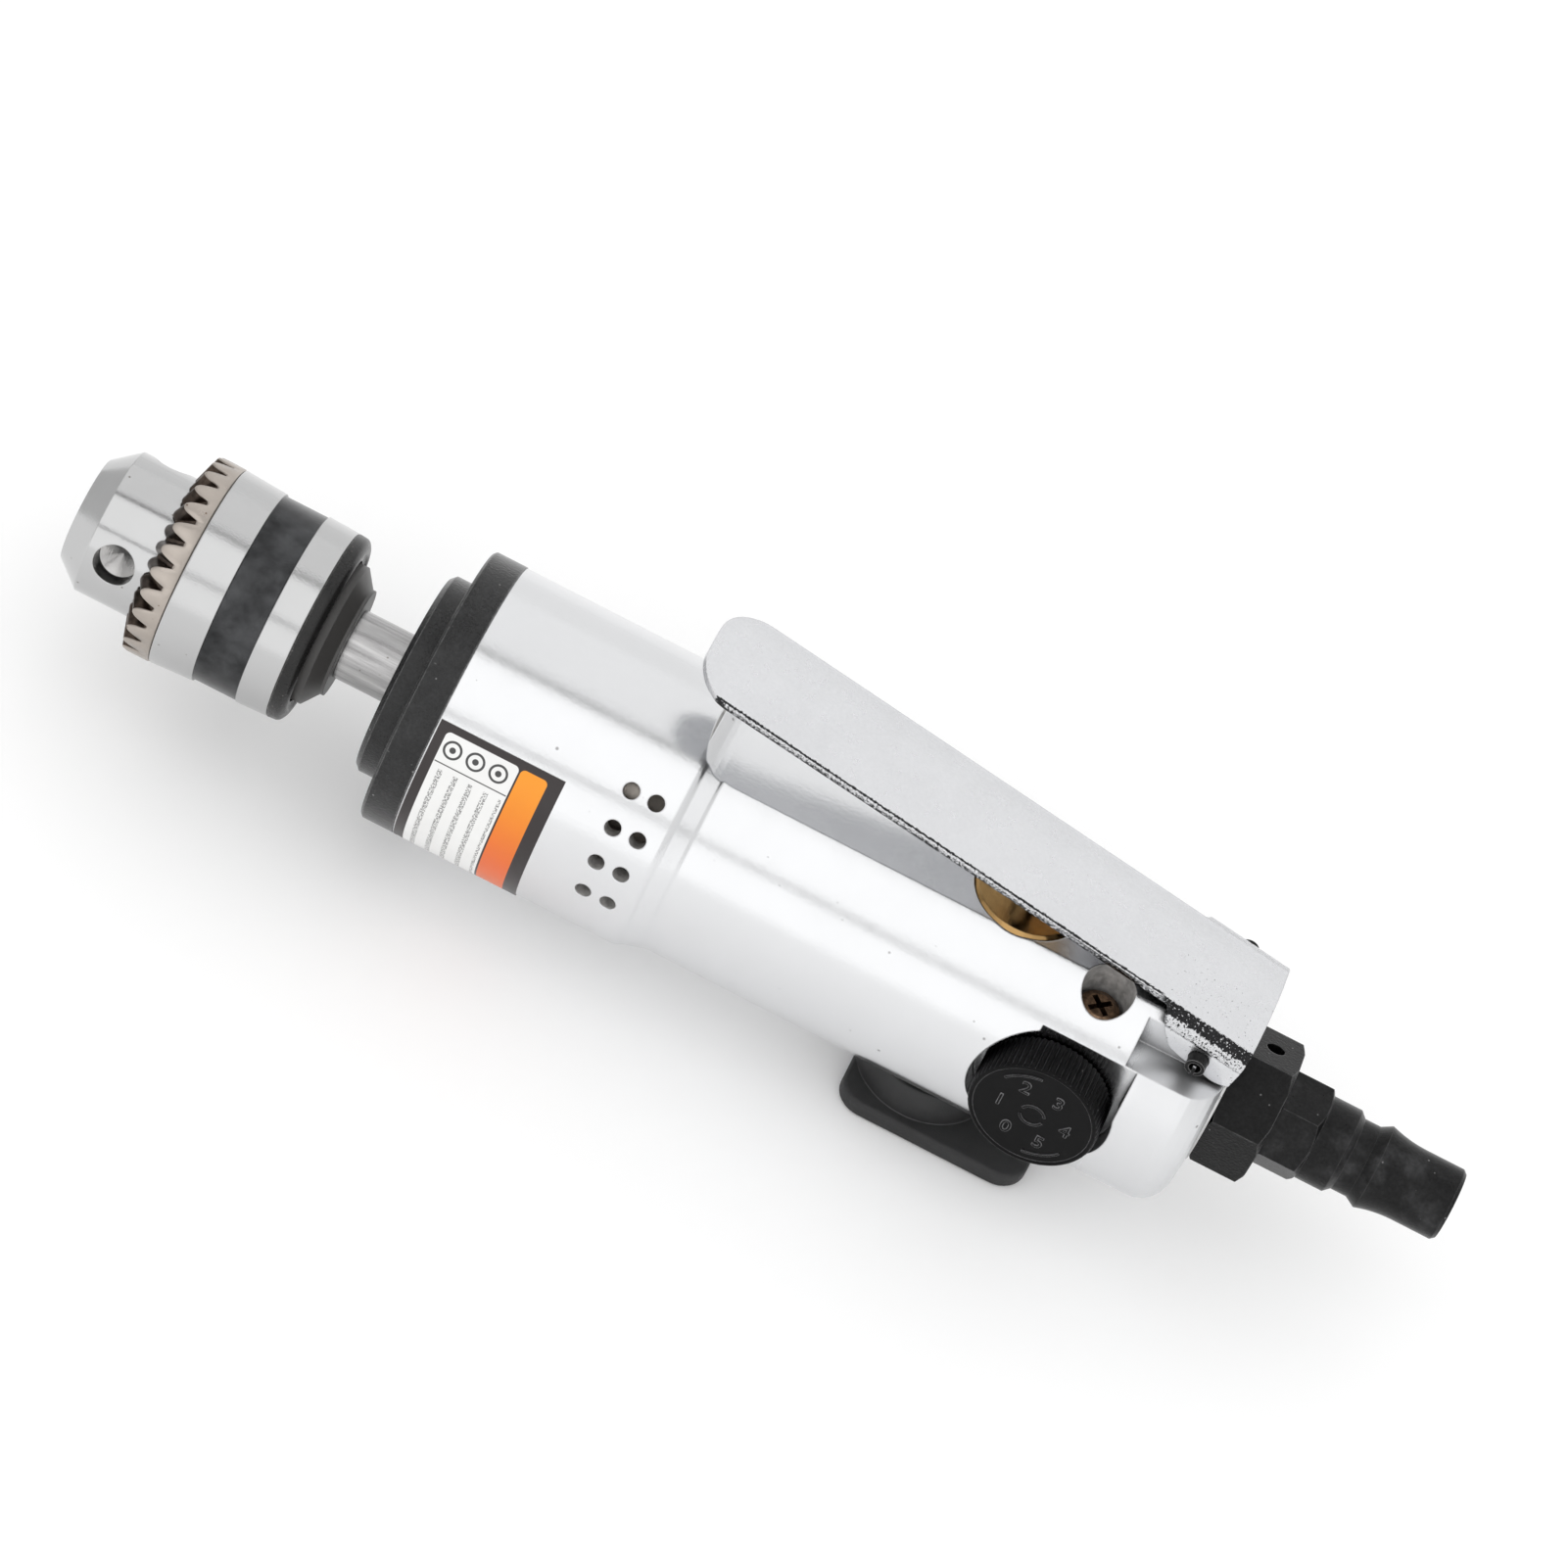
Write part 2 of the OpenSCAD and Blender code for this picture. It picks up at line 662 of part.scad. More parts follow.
// One jaw: a slanted round bar, ground to a ridge that faces the axis
module chuck_jaw(number) {
  reach = 1.5 * jaw_limit_r;
  side = reach * tan(60);
  color("gray") toward(key_hole_turn + 60 + 120 * number) intersection() {
    bar(jaw_front, jaw_rear, jaw_limit_r);
    jaw_bar(jaw_front - 3, jaw_rear + 3, jaw_r);
    along_x(jaw_front - 3) linear_extrude(jaw_rear - jaw_front + 6)
      polygon([[0, -jaw_opening], [side, -jaw_opening - reach], [-side, -jaw_opening - reach]]);
  }
}
module chuck_jaw_1() chuck_jaw(0);
module chuck_jaw_2() chuck_jaw(1);
module chuck_jaw_3() chuck_jaw(2);

// Ring with bevel teeth for the chuck key
module chuck_gear_ring() {
  gap_len = tooth_cone_len + 0.9;
  slant = atan(gap_len / (gear_ring_r - chuck_cavity_r));
  gap_w = 8 * tan(tooth_half_angle);
  color("tan") difference() {
    turned([
      [chuck_cavity_r, x_ring], [gear_ring_r, x_ring + tooth_cone_len], [gear_ring_r, x_sleeve],
      [sleeve_bore_r, x_sleeve], [sleeve_bore_r, lip_x], [chuck_cavity_r, lip_x]
    ]);
    for (i = [0 : tooth_count - 1]) toward(360 * i / tooth_count)
      translate([x_ring + tooth_cone_len + tooth_depth, -gear_ring_r, 0])
        rotate([90, 0, 0]) rotate([0, slant, 0]) translate([0, 0, -8]) linear_extrude(12)
          polygon([[0, 0], [-8, -gap_w], [-8, gap_w]]);
  }
}

// Steel sleeve that is turned by the key, with its recessed band
module chuck_sleeve() {
  color("lightgray") turned([
    [sleeve_bore_r, x_sleeve], [gear_ring_r - 0.3, x_sleeve], [gear_ring_r - 0.05, x_sleeve + 0.3],
    [sleeve_front_r, x_band], [band_r, x_band], [band_r, x_band_end],
    [sleeve_rear_r, x_band_end], [sleeve_rear_r, x_sleeve_end], [sleeve_bore_r, x_sleeve_end]
  ]);
}

// Black ring that closes the sleeve behind
module chuck_rear_ring() {
  rr = rear_ring_round;
  x_spigot = x_sleeve_end - rear_ring_spigot;
  color("black") turned(concat(
    [[chuck_tail_r + free_gap, x_spigot], [sleeve_bore_r - press_gap, x_spigot],
     [sleeve_bore_r - press_gap, x_sleeve_end], [sleeve_rear_r, x_sleeve_end]],
    arc(sleeve_rear_r - rr, x_rear_ring_end - rr, rr, 0, 90),
    [[chuck_tail_r + free_gap, x_rear_ring_end]]
  ));
}

// Nut in two halves: it is pressed into the sleeve and its cone drives the jaws
module chuck_nut() {
  wall = jaw_r / cos(jaw_slant) + 0.12;
  color("dimgray") difference() {
    bar(x_nut, x_nut + nut_len, sleeve_bore_r - press_gap);
    turned([
      [0, x_nut - cut], [jaw_distance(x_nut - cut) + wall, x_nut - cut],
      [jaw_distance(x_nut + nut_len + cut) + wall, x_nut + nut_len + cut], [0, x_nut + nut_len + cut]
    ]);
    translate([x_nut - cut, -sleeve_bore_r - cut, -nut_split / 2])
      cube([nut_len + 2 * cut, 2 * (sleeve_bore_r + cut), nut_split]);
  }
}

// Spindle with the planet carrier in one piece
module spindle() {
  color("silver") difference() {
    union() {
      bar(x_thread, x_chuck_end, spindle_thread_r);
      bar(x_chuck_end, x_main_bearing - 0.3, spindle_r);
      bar(x_main_bearing - 0.3, x_carrier, spindle_seat_r);
      bar(x_carrier - 0.6, x_carrier, spindle_seat_r + 1.5);
      bar(x_carrier, x_carrier + carrier_front_len, carrier_r);
      tube(x_carrier_rear, x_carrier_end, carrier_r, sun_tip_r + 0.6);
      for (i = [0 : planet_count - 1]) along_x(x_carrier) rotate(120 * i + 60)
        translate([carrier_post_orbit, 0, 0]) cylinder(h = x_carrier_end - x_carrier, r = carrier_post_r);
    }
    bar(x_thread - cut, x_thread + 9, chuck_screw_r + press_gap);
    bar(x_planet - 1.2, x_carrier_rear, sun_tip_r + 0.8);
    for (i = [0 : planet_count - 1]) along_x(x_carrier + 1.5) rotate(120 * i)
      translate([planet_orbit, 0, 0]) cylinder(h = x_carrier_end - x_carrier, r = planet_pin_r + press_gap);
  }
}

module planet_pins() {
  color("gainsboro") for (i = [0 : planet_count - 1]) along_x(x_carrier + 1.5) rotate(120 * i)
    translate([planet_orbit, 0, 0]) cylinder(h = x_carrier_end - x_carrier - 1.7, r = planet_pin_r);
}

// Planet gear on its pin; a gap between its teeth faces the sun's tooth
module planet_gear(number) {
  color("gray") along_x(x_planet) rotate(120 * number) translate([planet_orbit, 0, 0])
    rotate(180 / planet_teeth) difference() {
      linear_extrude(planet_len)
        polygon(gear_points(planet_teeth, outer_root(planet_teeth), outer_tip(planet_teeth), backlash / 2));
      translate([0, 0, -cut]) cylinder(h = planet_len + 2 * cut, r = planet_pin_r + 0.05);
    }
}
module planet_gear_1() planet_gear(0);
module planet_gear_2() planet_gear(1);
module planet_gear_3() planet_gear(2);

// Fixed ring gear, clamped between the cap and the front end plate
module ring_gear() {
  color("slategray") difference() {
    bar(x_ring_gear, x_flange, ring_gear_r);
    along_x(x_ring_gear - cut) rotate(180 / ring_teeth) linear_extrude(x_flange - x_ring_gear + 2 * cut)
      polygon(gear_points(
        ring_teeth, outer_root(ring_teeth) + (tooth_root - tooth_tip) * gear_module, ring_root_r, -backlash / 2
      ));
  }
}

// Cap that carries the spindle bearing and screws into the housing
module front_cap() {
  c = cap_chamfer;
  color("dimgray") difference() {
    turned([
      [0, x_cap], [cap_nose_r - c, x_cap], [cap_nose_r, x_cap + c], [cap_nose_r, x_cap + cap_nose_len],
      [cap_r - c / 2, x_cap + cap_nose_len], [cap_r, x_cap + cap_nose_len + c / 2], [cap_r, x_housing],
      [spigot_r, x_housing], [spigot_r, x_ring_gear], [0, x_ring_gear]
    ]);
    bar(x_cap - cut, x_ring_gear + cut, spindle_seat_r + 0.5);
    bar(x_seal, x_main_bearing, seal_r + press_gap);
    bar(x_main_bearing - press_gap, x_ring_gear + cut, main_bearing_r + press_gap);
    bar(x_carrier - 0.6, x_ring_gear + cut, carrier_r + 0.7);
  }
}

module spindle_seal() {
  color("beige") tube(x_seal, x_seal + seal_len, seal_r, spindle_r + 0.08);
}

// Ball bearing of bore radius r0 and outer radius r1: its ball track runs midway
function track_r(r0, r1) = (r0 + r1) / 2;

module ball_track(x, len, r0, r1, ball) {
  along_x(x + len / 2) rotate_extrude() translate([track_r(r0, r1), 0]) circle(r = ball + 0.08);
}

module outer_race(x, len, r0, r1, ball) {
  difference() {
    tube(x, x + len, r1, track_r(r0, r1) + 0.72 * ball);
    ball_track(x, len, r0, r1, ball);
  }
}

module inner_race(x, len, r0, r1, ball) {
  difference() {
    tube(x, x + len, track_r(r0, r1) - 0.72 * ball, r0 + press_gap);
    ball_track(x, len, r0, r1, ball);
  }
}

// Balls, and the cage that spaces them
module ball_set(x, len, r0, r1, ball, count) {
  mid = x + len / 2;
  track = track_r(r0, r1);
  for (i = [0 : count - 1]) toward(360 * i / count) translate([mid, -track, 0]) sphere(r = ball);
  difference() {
    tube(mid - 1.25 * ball, mid + 1.25 * ball, track + 0.4 * ball, track - 0.4 * ball);
    for (i = [0 : count - 1]) toward(360 * i / count)
      side_bar(mid, track - ball, track + ball, ball + pocket_gap);
  }
}

module spindle_bearing_outer() {
  color("silver") outer_race(x_main_bearing, main_bearing_len, spindle_seat_r, main_bearing_r, main_ball_r);
}
module spindle_bearing_inner() {
  color("silver") inner_race(x_main_bearing, main_bearing_len, spindle_seat_r, main_bearing_r, main_ball_r);
}
module spindle_bearing_balls() {
  color("gainsboro")
    ball_set(x_main_bearing, main_bearing_len, spindle_seat_r, main_bearing_r, main_ball_r, main_ball_count);
}
module front_bearing_outer() {
  color("silver")
    outer_race(x_front_bearing, motor_bearing_len, rotor_front_r, front_bearing_r, motor_ball_r);
}
module front_bearing_inner() {
  color("silver")
    inner_race(x_front_bearing, motor_bearing_len, rotor_front_r, front_bearing_r, motor_ball_r);
}
module front_bearing_balls() {
  color("gainsboro")
    ball_set(x_front_bearing, motor_bearing_len, rotor_front_r, front_bearing_r, motor_ball_r, motor_ball_count);
}
module rear_bearing_outer() {
  color("silver") outer_race(x_rear_bearing, motor_bearing_len, rotor_rear_r, rear_bearing_r, motor_ball_r);
}
module rear_bearing_inner() {
  color("silver") inner_race(x_rear_bearing, motor_bearing_len, rotor_rear_r, rear_bearing_r, motor_ball_r);
}
module rear_bearing_balls() {
  color("gainsboro")
    ball_set(x_rear_bearing, motor_bearing_len, rotor_rear_r, rear_bearing_r, motor_ball_r, motor_ball_count);
}

// Rotor with the sun gear on its front shaft and slots for the vanes
module rotor() {
  color("gray") difference() {
    union() {
      along_x(x_planet - 0.9) linear_extrude(x_flange - x_planet + 1.4)
        polygon(gear_points(sun_teeth, outer_root(sun_teeth), outer_tip(sun_teeth), backlash / 2));
      bar(x_flange + 0.4, x_cylinder + run_gap, rotor_front_r);
      bar(x_cylinder + run_gap, x_rear_plate - run_gap, rotor_r);
      bar(x_rear_plate - run_gap, x_motor_end - 0.5, rotor_rear_r);
    }
    for (i = [0 : vane_count - 1]) toward(360 * i / vane_count + 90)
      translate([x_cylinder, -rotor_r - cut, -vane_w / 2 - slot_gap])
        cube([cylinder_len, vane_h + cut + 3 * slot_gap, vane_w + 2 * slot_gap]);
  }
}

module rotor_vanes() {
  color("sienna") intersection() {
    bar(x_cylinder, x_rear_plate, rotor_r);
    for (i = [0 : vane_count - 1]) toward(360 * i / vane_count + 90)
      translate([x_cylinder + 0.2, -rotor_r, -vane_w / 2]) cube([cylinder_len - 0.4, vane_h, vane_w]);
  }
}

module front_end_plate() {
  color("darkgray") difference() {
    union() {
      bar(x_flange, x_plate, ring_gear_r);
      bar(x_plate, x_cylinder, cylinder_r);
    }
    bar(x_flange - cut, x_cylinder + cut, rotor_front_r + shaft_gap);
    bar(x_flange - cut, x_front_bearing + motor_bearing_len, front_bearing_r + press_gap);
  }
}

// Cylinder with its bore above the axis moved down, and exhaust slots on the knob's side
module motor_cylinder() {
  color("darkgray") difference() {
    bar(x_cylinder, x_rear_plate, cylinder_r);
    translate([0, 0, -cylinder_offset]) bar(x_cylinder - cut, x_rear_plate + cut, cylinder_bore_r);
    for (i = [0 : 2]) side_bar(x_cylinder + 2.5 + 4 * i, 0, cylinder_r + cut, 1.2);
    motor_dowel_hole();
  }
}

module motor_dowel_hole() {
  translate([0, 0, dowel_z])
    bar(x_rear_plate - dowel_len / 2 - 0.5, x_rear_plate + dowel_len / 2, dowel_r + press_gap);
}

module motor_dowel() {
  color("gainsboro") translate([0, 0, dowel_z])
    bar(x_rear_plate - dowel_len / 2 - 0.3, x_rear_plate + dowel_len / 2 - 0.2, dowel_r);
}

module rear_end_plate() {
  color("darkgray") difference() {
    bar(x_rear_plate, x_rear_plate + rear_plate_len, cylinder_r);
    bar(x_rear_plate - cut, x_motor_end, rotor_rear_r + run_gap);
    bar(x_rear_bearing, x_motor_end, rear_bearing_r + press_gap);
    for (side = [-1, 1]) translate([0, side * port_y, port_z]) bar(x_rear_plate - cut, x_motor_end, port_r);
    motor_dowel_hole();
  }
}

// Outside of the housing before anything is cut into it
module housing_blank() {
  rr = rear_round;
  turned(concat(
    [[0, x_housing], [body_r, x_housing]],
    arc(body_r - shoulder_round, x_shoulder, shoulder_round, 0, shoulder_turn, 3),
    arc(rear_r + shoulder_fillet, x_rear_part, shoulder_fillet, 180 + shoulder_turn, 180, 3),
    arc(rear_r - rr, x_housing_end - rr, rr, 0, 90),
    [[0, x_housing_end]]
  ));
}

// Flat along the top; a round cutter ends it at the shoulder
module top_flat() {
  x0 = x_rear_part + 1;
  rise = body_r - flat_z + cut;
  rotate([90, 0, 0]) linear_extrude(2 * (body_r + cut), center = true) polygon(concat(
    [[x_housing_end + cut, flat_z + rise], [x_housing_end + cut, flat_z]],
    arc(x0, flat_z + flat_runout_r, flat_runout_r, 270, 270 - acos((flat_runout_r - rise) / flat_runout_r), 8)
  ));
}

// Recess behind the knob, with its cut towards the flat
module knob_recess() {
  depth = rear_r - recess_floor + cut;
  translate([x_regulator, -recess_floor, regulator_z]) rotate([90, 0, 0]) cylinder(h = depth, r = recess_r);
  translate([x_regulator - recess_cut_front, -recess_floor - depth, regulator_z])
    cube([recess_cut_front + recess_r - 0.5, depth, rear_r]);
}

// Housing of motor and valves
module housing() {
  color("lightgray") difference() {
    housing_blank();
    top_flat();
    bar(x_housing - cut, x_ring_gear, spigot_r + press_gap);
    bar(x_ring_gear - cut, x_annulus_end, front_bore_r);
    bar(x_annulus_end - cut, x_motor_end, motor_bore_r);
    for (row = [0, 1], i = [0 : exhaust_count - 1]) toward(exhaust_turn + exhaust_turn_step * i)
      side_bar(x_exhaust + exhaust_row_step * row, cylinder_r, body_r + cut, exhaust_r);
    post(x_throttle, 0, -chamber_depth, flat_z, chamber_r);
    post(x_throttle, 0, bushing_seat, flat_z + cut, bushing_head_r + press_gap);
    post(x_reverse, 0, belly_z - cut, -reverse_top + 0.6, reverse_r + run_gap);
    post(x_reverse, 0, -rear_r - cut, belly_z, hub_r + free_gap);
    post(x_throttle, 0, -reverse_top, 0, 2);
    for (side = [-1, 1]) translate([0, side * port_y, port_z]) bar(x_motor_end - cut, x_reverse, port_r);
    bar(x_throttle, x_housing_end, passage_r);
    bar(x_hex - inlet_thread_len - washer_t, x_housing_end + cut, inlet_r + press_gap);
    knob_recess();
    translate([0, 0, regulator_z])
      side_bar(x_regulator, -regulator_reach - free_gap, recess_floor + cut, regulator_r + run_gap);
    post(x_screw, -screw_dy, regulator_z, flat_z, screw_r + press_gap);
    post(x_screw, -screw_dy, flat_z - screw_sink_depth, flat_z + cut, screw_sink_r);
    for (y = [-rear_r - cut - lug_half_w, lug_half_w])
      translate([x_pin - ear_recess_len, y, flat_z - ear_floor_drop]) cube([rear_r, rear_r + cut, rear_r]);
    translate([0, 0, pin_z]) side_bar(x_pin, -lug_half_w - cut, lug_half_w + cut, pin_r + press_gap);
  }
}

module label_plate() {
  color("white") toward(label_turn) along_x(x_housing + free_gap) rotate(-90)
    rotate_extrude(angle = -label_sweep) translate([body_r, 0]) square([label_t, label_len]);
}

// Moves the lever's own frame, with its origin on the pin, to its place on the tool
module lever_place() {
  translate([x_pin, 0, pin_z]) rotate([0, lever_tilt, 0]) children();
}

// Half section of the lever's sheet at the ears: the crowned top, the bend and the side
ear_bend_y = ear_outer - ear_bend_r;
function crown_z(y) = lever_lift + lever_t - lever_crown_r + sqrt(lever_crown_r * lever_crown_r - y * y);
function crown_points(half, drop) = [for (i = [0 : 4]) [half * i / 4, crown_z(half * i / 4) - drop]];
function ear_half(drop) = concat(
  crown_points(ear_bend_y, drop),
  [for (a = [75 : -15 : 0]) let (r = ear_bend_r - drop)
    [ear_bend_y + r * cos(a), crown_z(ear_bend_y) - ear_bend_r + r * sin(a)]],
  [[ear_outer - drop, -ear_drop - 2]]
);
function blade_half(drop) = crown_points(lever_half_w, drop);
function reversed(list) = [for (i = [len(list) - 1 : -1 : 0]) list[i]];
// Section in along_x's plane, closed from the right half and its mirror image
function full_section(outer, inner) = concat(
  [for (p = reversed(outer)) [-p[1], -p[0]]], [for (p = outer) if (p[0] > 0) [-p[1], p[0]]],
  [for (p = reversed(inner)) [-p[1], p[0]]], [for (p = inner) if (p[0] > 0) [-p[1], -p[0]]]
);

// Lever pressed from one sheet: a crowned blade and two ears
module throttle_lever() {
  side = [
    [-ear_front_len, body_r], [-ear_front_len, ear_chamfer_z], [-ear_toe, -ear_drop + 1],
    [ear_toe - 1, -ear_drop], [ear_rear_len - 1.3, -ear_drop], [ear_rear_len, -ear_drop + 1.1],
    [ear_rear_len, body_r]
  ];
  color("silver") lever_place() difference() {
    union() {
      intersection() {
        along_x(-lever_len) linear_extrude(lever_len)
          polygon(full_section(blade_half(0), blade_half(lever_t)));
        linear_extrude(body_r) polygon(concat(
          [[0, lever_half_w]],
          arc(-lever_len + lever_corner_r, lever_half_w - lever_corner_r, lever_corner_r, 90, 180, 6),
          arc(-lever_len + lever_corner_r, -lever_half_w + lever_corner_r, lever_corner_r, 180, 270, 6),
          [[0, -lever_half_w]]
        ));
      }
      intersection() {
        along_x(-ear_front_len) linear_extrude(ear_front_len + ear_rear_len)
          polygon(full_section(ear_half(0), ear_half(lever_t)));
        rotate([90, 0, 0]) linear_extrude(2 * ear_outer + 2, center = true) polygon(side);
      }
    }
    side_bar(0, -ear_outer - cut, ear_outer + cut, pin_r + 0.05);
  }
}

// Spring pin with its slit
module lever_pin() {
  half = ear_outer + pin_reach;
  color("black") translate([0, 0, pin_z]) difference() {
    side_bar(x_pin, -half, half, pin_r);
    side_bar(x_pin, -half - cut, half + cut, pin_r - 0.6);
    translate([x_pin - 0.25, -half - cut, -pin_r - cut]) cube([0.5, 2 * (half + cut), pin_r + cut]);
  }
}

// Brass bushing that guides the throttle pin and seats the valve disc
module throttle_bushing() {
  top = flat_z + bushing_stand;
  color("gold") difference() {
    translate([x_throttle, 0, 0]) rotate_extrude() polygon([
      [0, bushing_bottom], [chamber_r - press_gap, bushing_bottom], [chamber_r - press_gap, bushing_seat],
      [bushing_head_r, bushing_seat], [bushing_head_r, top - 0.7], [bushing_head_r - 0.7, top], [0, top]
    ]);
    post(x_throttle, 0, bushing_bottom - cut, top + cut, stem_r + run_gap);
    post(x_throttle, 0, bushing_bottom - cut, bushing_bottom + 3, stem_r + 1.4);
  }
}

// Underside of the released lever over station x
function lever_under(x) = pin_z + lever_lift * cos(lever_tilt)
  + (x_pin + lever_lift * sin(lever_tilt) - x) * tan(lever_tilt);
stem_top = lever_under(x_throttle) - free_gap - 0.1;

// Throttle pin with its valve disc
module throttle_stem() {
  dome = 1.2;
  color("gray") translate([x_throttle, 0, 0]) rotate_extrude() polygon(concat(
    [[0, disc_bottom], [disc_r, disc_bottom], [disc_r, disc_top], [stem_r, disc_top], [stem_r, stem_top - dome]],
    [for (a = [20 : 20 : 80]) [stem_r * cos(a), stem_top - dome + dome * sin(a)]],
    [[0, stem_top]]
  ));
}

// Round tube wound along points: each ring lies across the path
module wound_tube(points, r, sides) {
  n = len(points);
  function dir(i) = let (d = points[min(i + 1, n - 1)] - points[max(i - 1, 0)]) d / norm(d);
  function across(i) = let (d = cross(dir(i), [0, 0, 1])) d / norm(d);
  rings = [for (i = [0 : n - 1], s = [0 : sides - 1]) let (a = 360 * s / sides, u = across(i), v = cross(u, dir(i)))
    points[i] + r * (cos(a) * u + sin(a) * v)];
  sheet = [for (i = [0 : n - 2], s = [0 : sides - 1], half = [0, 1])
    let (p = i * sides + s, q = i * sides + (s + 1) % sides)
      half == 0 ? [p, p + sides, q] : [q, p + sides, q + sides]];
  front = [for (s = [1 : sides - 2]) [0, s, s + 1]];
  back = [for (s = [1 : sides - 2]) let (b = (n - 1) * sides) [b, b + s + 1, b + s]];
  polyhedron(points = rings, faces = concat(sheet, front, back));
}

// Spring that closes the throttle
module throttle_spring() {
  low = -chamber_depth + spring_wire_r + 0.1;
  high = disc_bottom - spring_wire_r - 0.1;
  steps = 16 * spring_turns;
  color("lightgray") translate([x_throttle, 0, 0]) wound_tube(
    [for (i = [0 : steps]) let (a = 360 * i / 16)
      [spring_r * cos(a), spring_r * sin(a), low + (high - low) * i / steps]],
    spring_wire_r, 6);
}

// Knob of the speed valve, grooved round its edge
module speed_knob() {
  face = recess_floor + free_gap + knob_h;
  color("black") translate([x_regulator, 0, regulator_z]) rotate([90, 0, 0]) difference() {
    rotate_extrude() polygon([
      [0, -regulator_start], [knob_r, -regulator_start],
      [knob_r, face - knob_edge], [knob_r - knob_edge, face], [0, face]
    ]);
    for (i = [0 : knob_grooves - 1]) rotate(360 * i / knob_grooves)
      translate([knob_r + 0.4 * knob_groove_r, 0, recess_floor - cut])
        cylinder(h = 2 * knob_h, r = knob_groove_r);
  }
}

// Rotary speed valve: a groove for the retaining screw, a groove for the seal and a cross hole
module speed_valve() {
  color("silver") translate([x_regulator, 0, regulator_z]) rotate([90, 0, 0]) difference() {
    translate([0, 0, -regulator_reach]) cylinder(h = regulator_reach - regulator_start, r = regulator_r);
    translate([0, 0, screw_dy - screw_r - 0.3]) difference() {
      cylinder(h = 2 * screw_r + 0.6, r = regulator_r + cut);
      translate([0, 0, -cut]) cylinder(h = 2 * screw_r + 2.6, r = screw_groove_r);
    }
    translate([0, 0, screw_dy + screw_r + 1.4]) difference() {
      cylinder(h = 2 * seal_wire_r + 0.2, r = regulator_r + cut);
      translate([0, 0, -cut]) cylinder(h = 2 * seal_wire_r + 2.2, r = regulator_r - 2 * seal_wire_r);
    }
    rotate([0, 90, 0]) translate([regulator_z, 0, -regulator_r - cut])
      cylinder(h = 2 * (regulator_r + cut), r = regulator_hole_r);
  }
}

module o_ring(r) {
  rotate_extrude() translate([r, 0]) circle(r = seal_wire_r);
}

module speed_valve_seal() {
  y = -(screw_dy + screw_r + 1.5 + seal_wire_r);
  color("black") translate([x_regulator, y, regulator_z]) rotate([90, 0, 0])
    o_ring(regulator_r - seal_wire_r + 0.04);
}

// Cross-recessed screw whose tip holds the speed valve by its groove
module retaining_screw() {
  head_bottom = flat_z - screw_sink_depth;
  head_top = head_bottom + screw_head_h;
  color("peru") difference() {
    union() {
      translate([x_screw, -screw_dy, 0]) rotate_extrude() polygon([
        [0, head_bottom], [screw_head_r, head_bottom], [screw_head_r, head_top - 0.9],
        [screw_head_r - 0.5, head_top - 0.3], [screw_head_r - 1.4, head_top], [0, head_top]
      ]);
      post(x_screw, -screw_dy, regulator_z + screw_groove_r + 0.35, head_bottom, screw_r);
    }
    for (turn = [45, 135]) translate([x_screw, -screw_dy, head_top - 1.5]) rotate(turn)
      translate([-2, -0.45, 0]) cube([4, 0.9, 3]);
  }
}

// Reversing lever under the belly: a round hub on a plate
module reversing_lever() {
  r = tab_corner_r;
  w = tab_half_w;
  color("dimgray") difference() {
    union() {
      post(x_reverse, 0, tab_top, hub_top, hub_r);
      translate([x_reverse, 0, tab_bottom]) linear_extrude(tab_t) polygon(concat(
        arc(tab_rear - r, w - r, r, 0, 90), arc(-tab_front + r, w - r, r, 90, 180),
        arc(-tab_front + r, -w + r, r, 180, 270), arc(tab_rear - r, -w + r, r, 270, 360)
      ));
    }
    post(x_reverse, 0, tab_bottom - cut, hub_top + cut, tab_screw_r + press_gap);
    post(x_reverse, 0, tab_bottom - cut, tab_bottom + tab_screw_head_h + 0.3, tab_screw_head_r + 0.2);
  }
}

// Rotary reversing valve with its cross slot
module reversing_valve() {
  color("silver") difference() {
    post(x_reverse, 0, hub_top, -reverse_top, reverse_r);
    post(x_reverse, 0, hub_top - cut, hub_top + 7, tab_screw_r + press_gap);
    translate([x_reverse - reverse_r - cut, -1.5, port_z + 1]) cube([2 * (reverse_r + cut), 3, 3]);
    translate([x_reverse, 0, hub_top + 1.2]) difference() {
      cylinder(h = 2 * seal_wire_r + 0.2, r = reverse_r + cut);
      translate([0, 0, -cut]) cylinder(h = 2 * seal_wire_r + 2.2, r = reverse_r - 2 * seal_wire_r);
    }
  }
}

module reversing_valve_seal() {
  color("black") translate([x_reverse, 0, hub_top + 1.3 + seal_wire_r])
    o_ring(reverse_r - seal_wire_r + 0.04);
}

module reversing_screw() {
  head_bottom = tab_bottom + 0.3;
  head_top = head_bottom + tab_screw_head_h;
  color("dimgray") difference() {
    union() {
      post(x_reverse, 0, head_bottom, head_top, tab_screw_head_r);
      post(x_reverse, 0, head_top, hub_top + 6.5, tab_screw_r);
    }
    for (turn = [0, 90]) translate([x_reverse, 0, head_bottom - cut]) rotate(turn)
      translate([-2, -0.45, 0]) cube([4, 0.9, cut + 1.2]);
  }
}

module inlet_washer() {
  color("gray") tube(x_housing_end, x_hex, washer_r, inlet_r + run_gap);
}

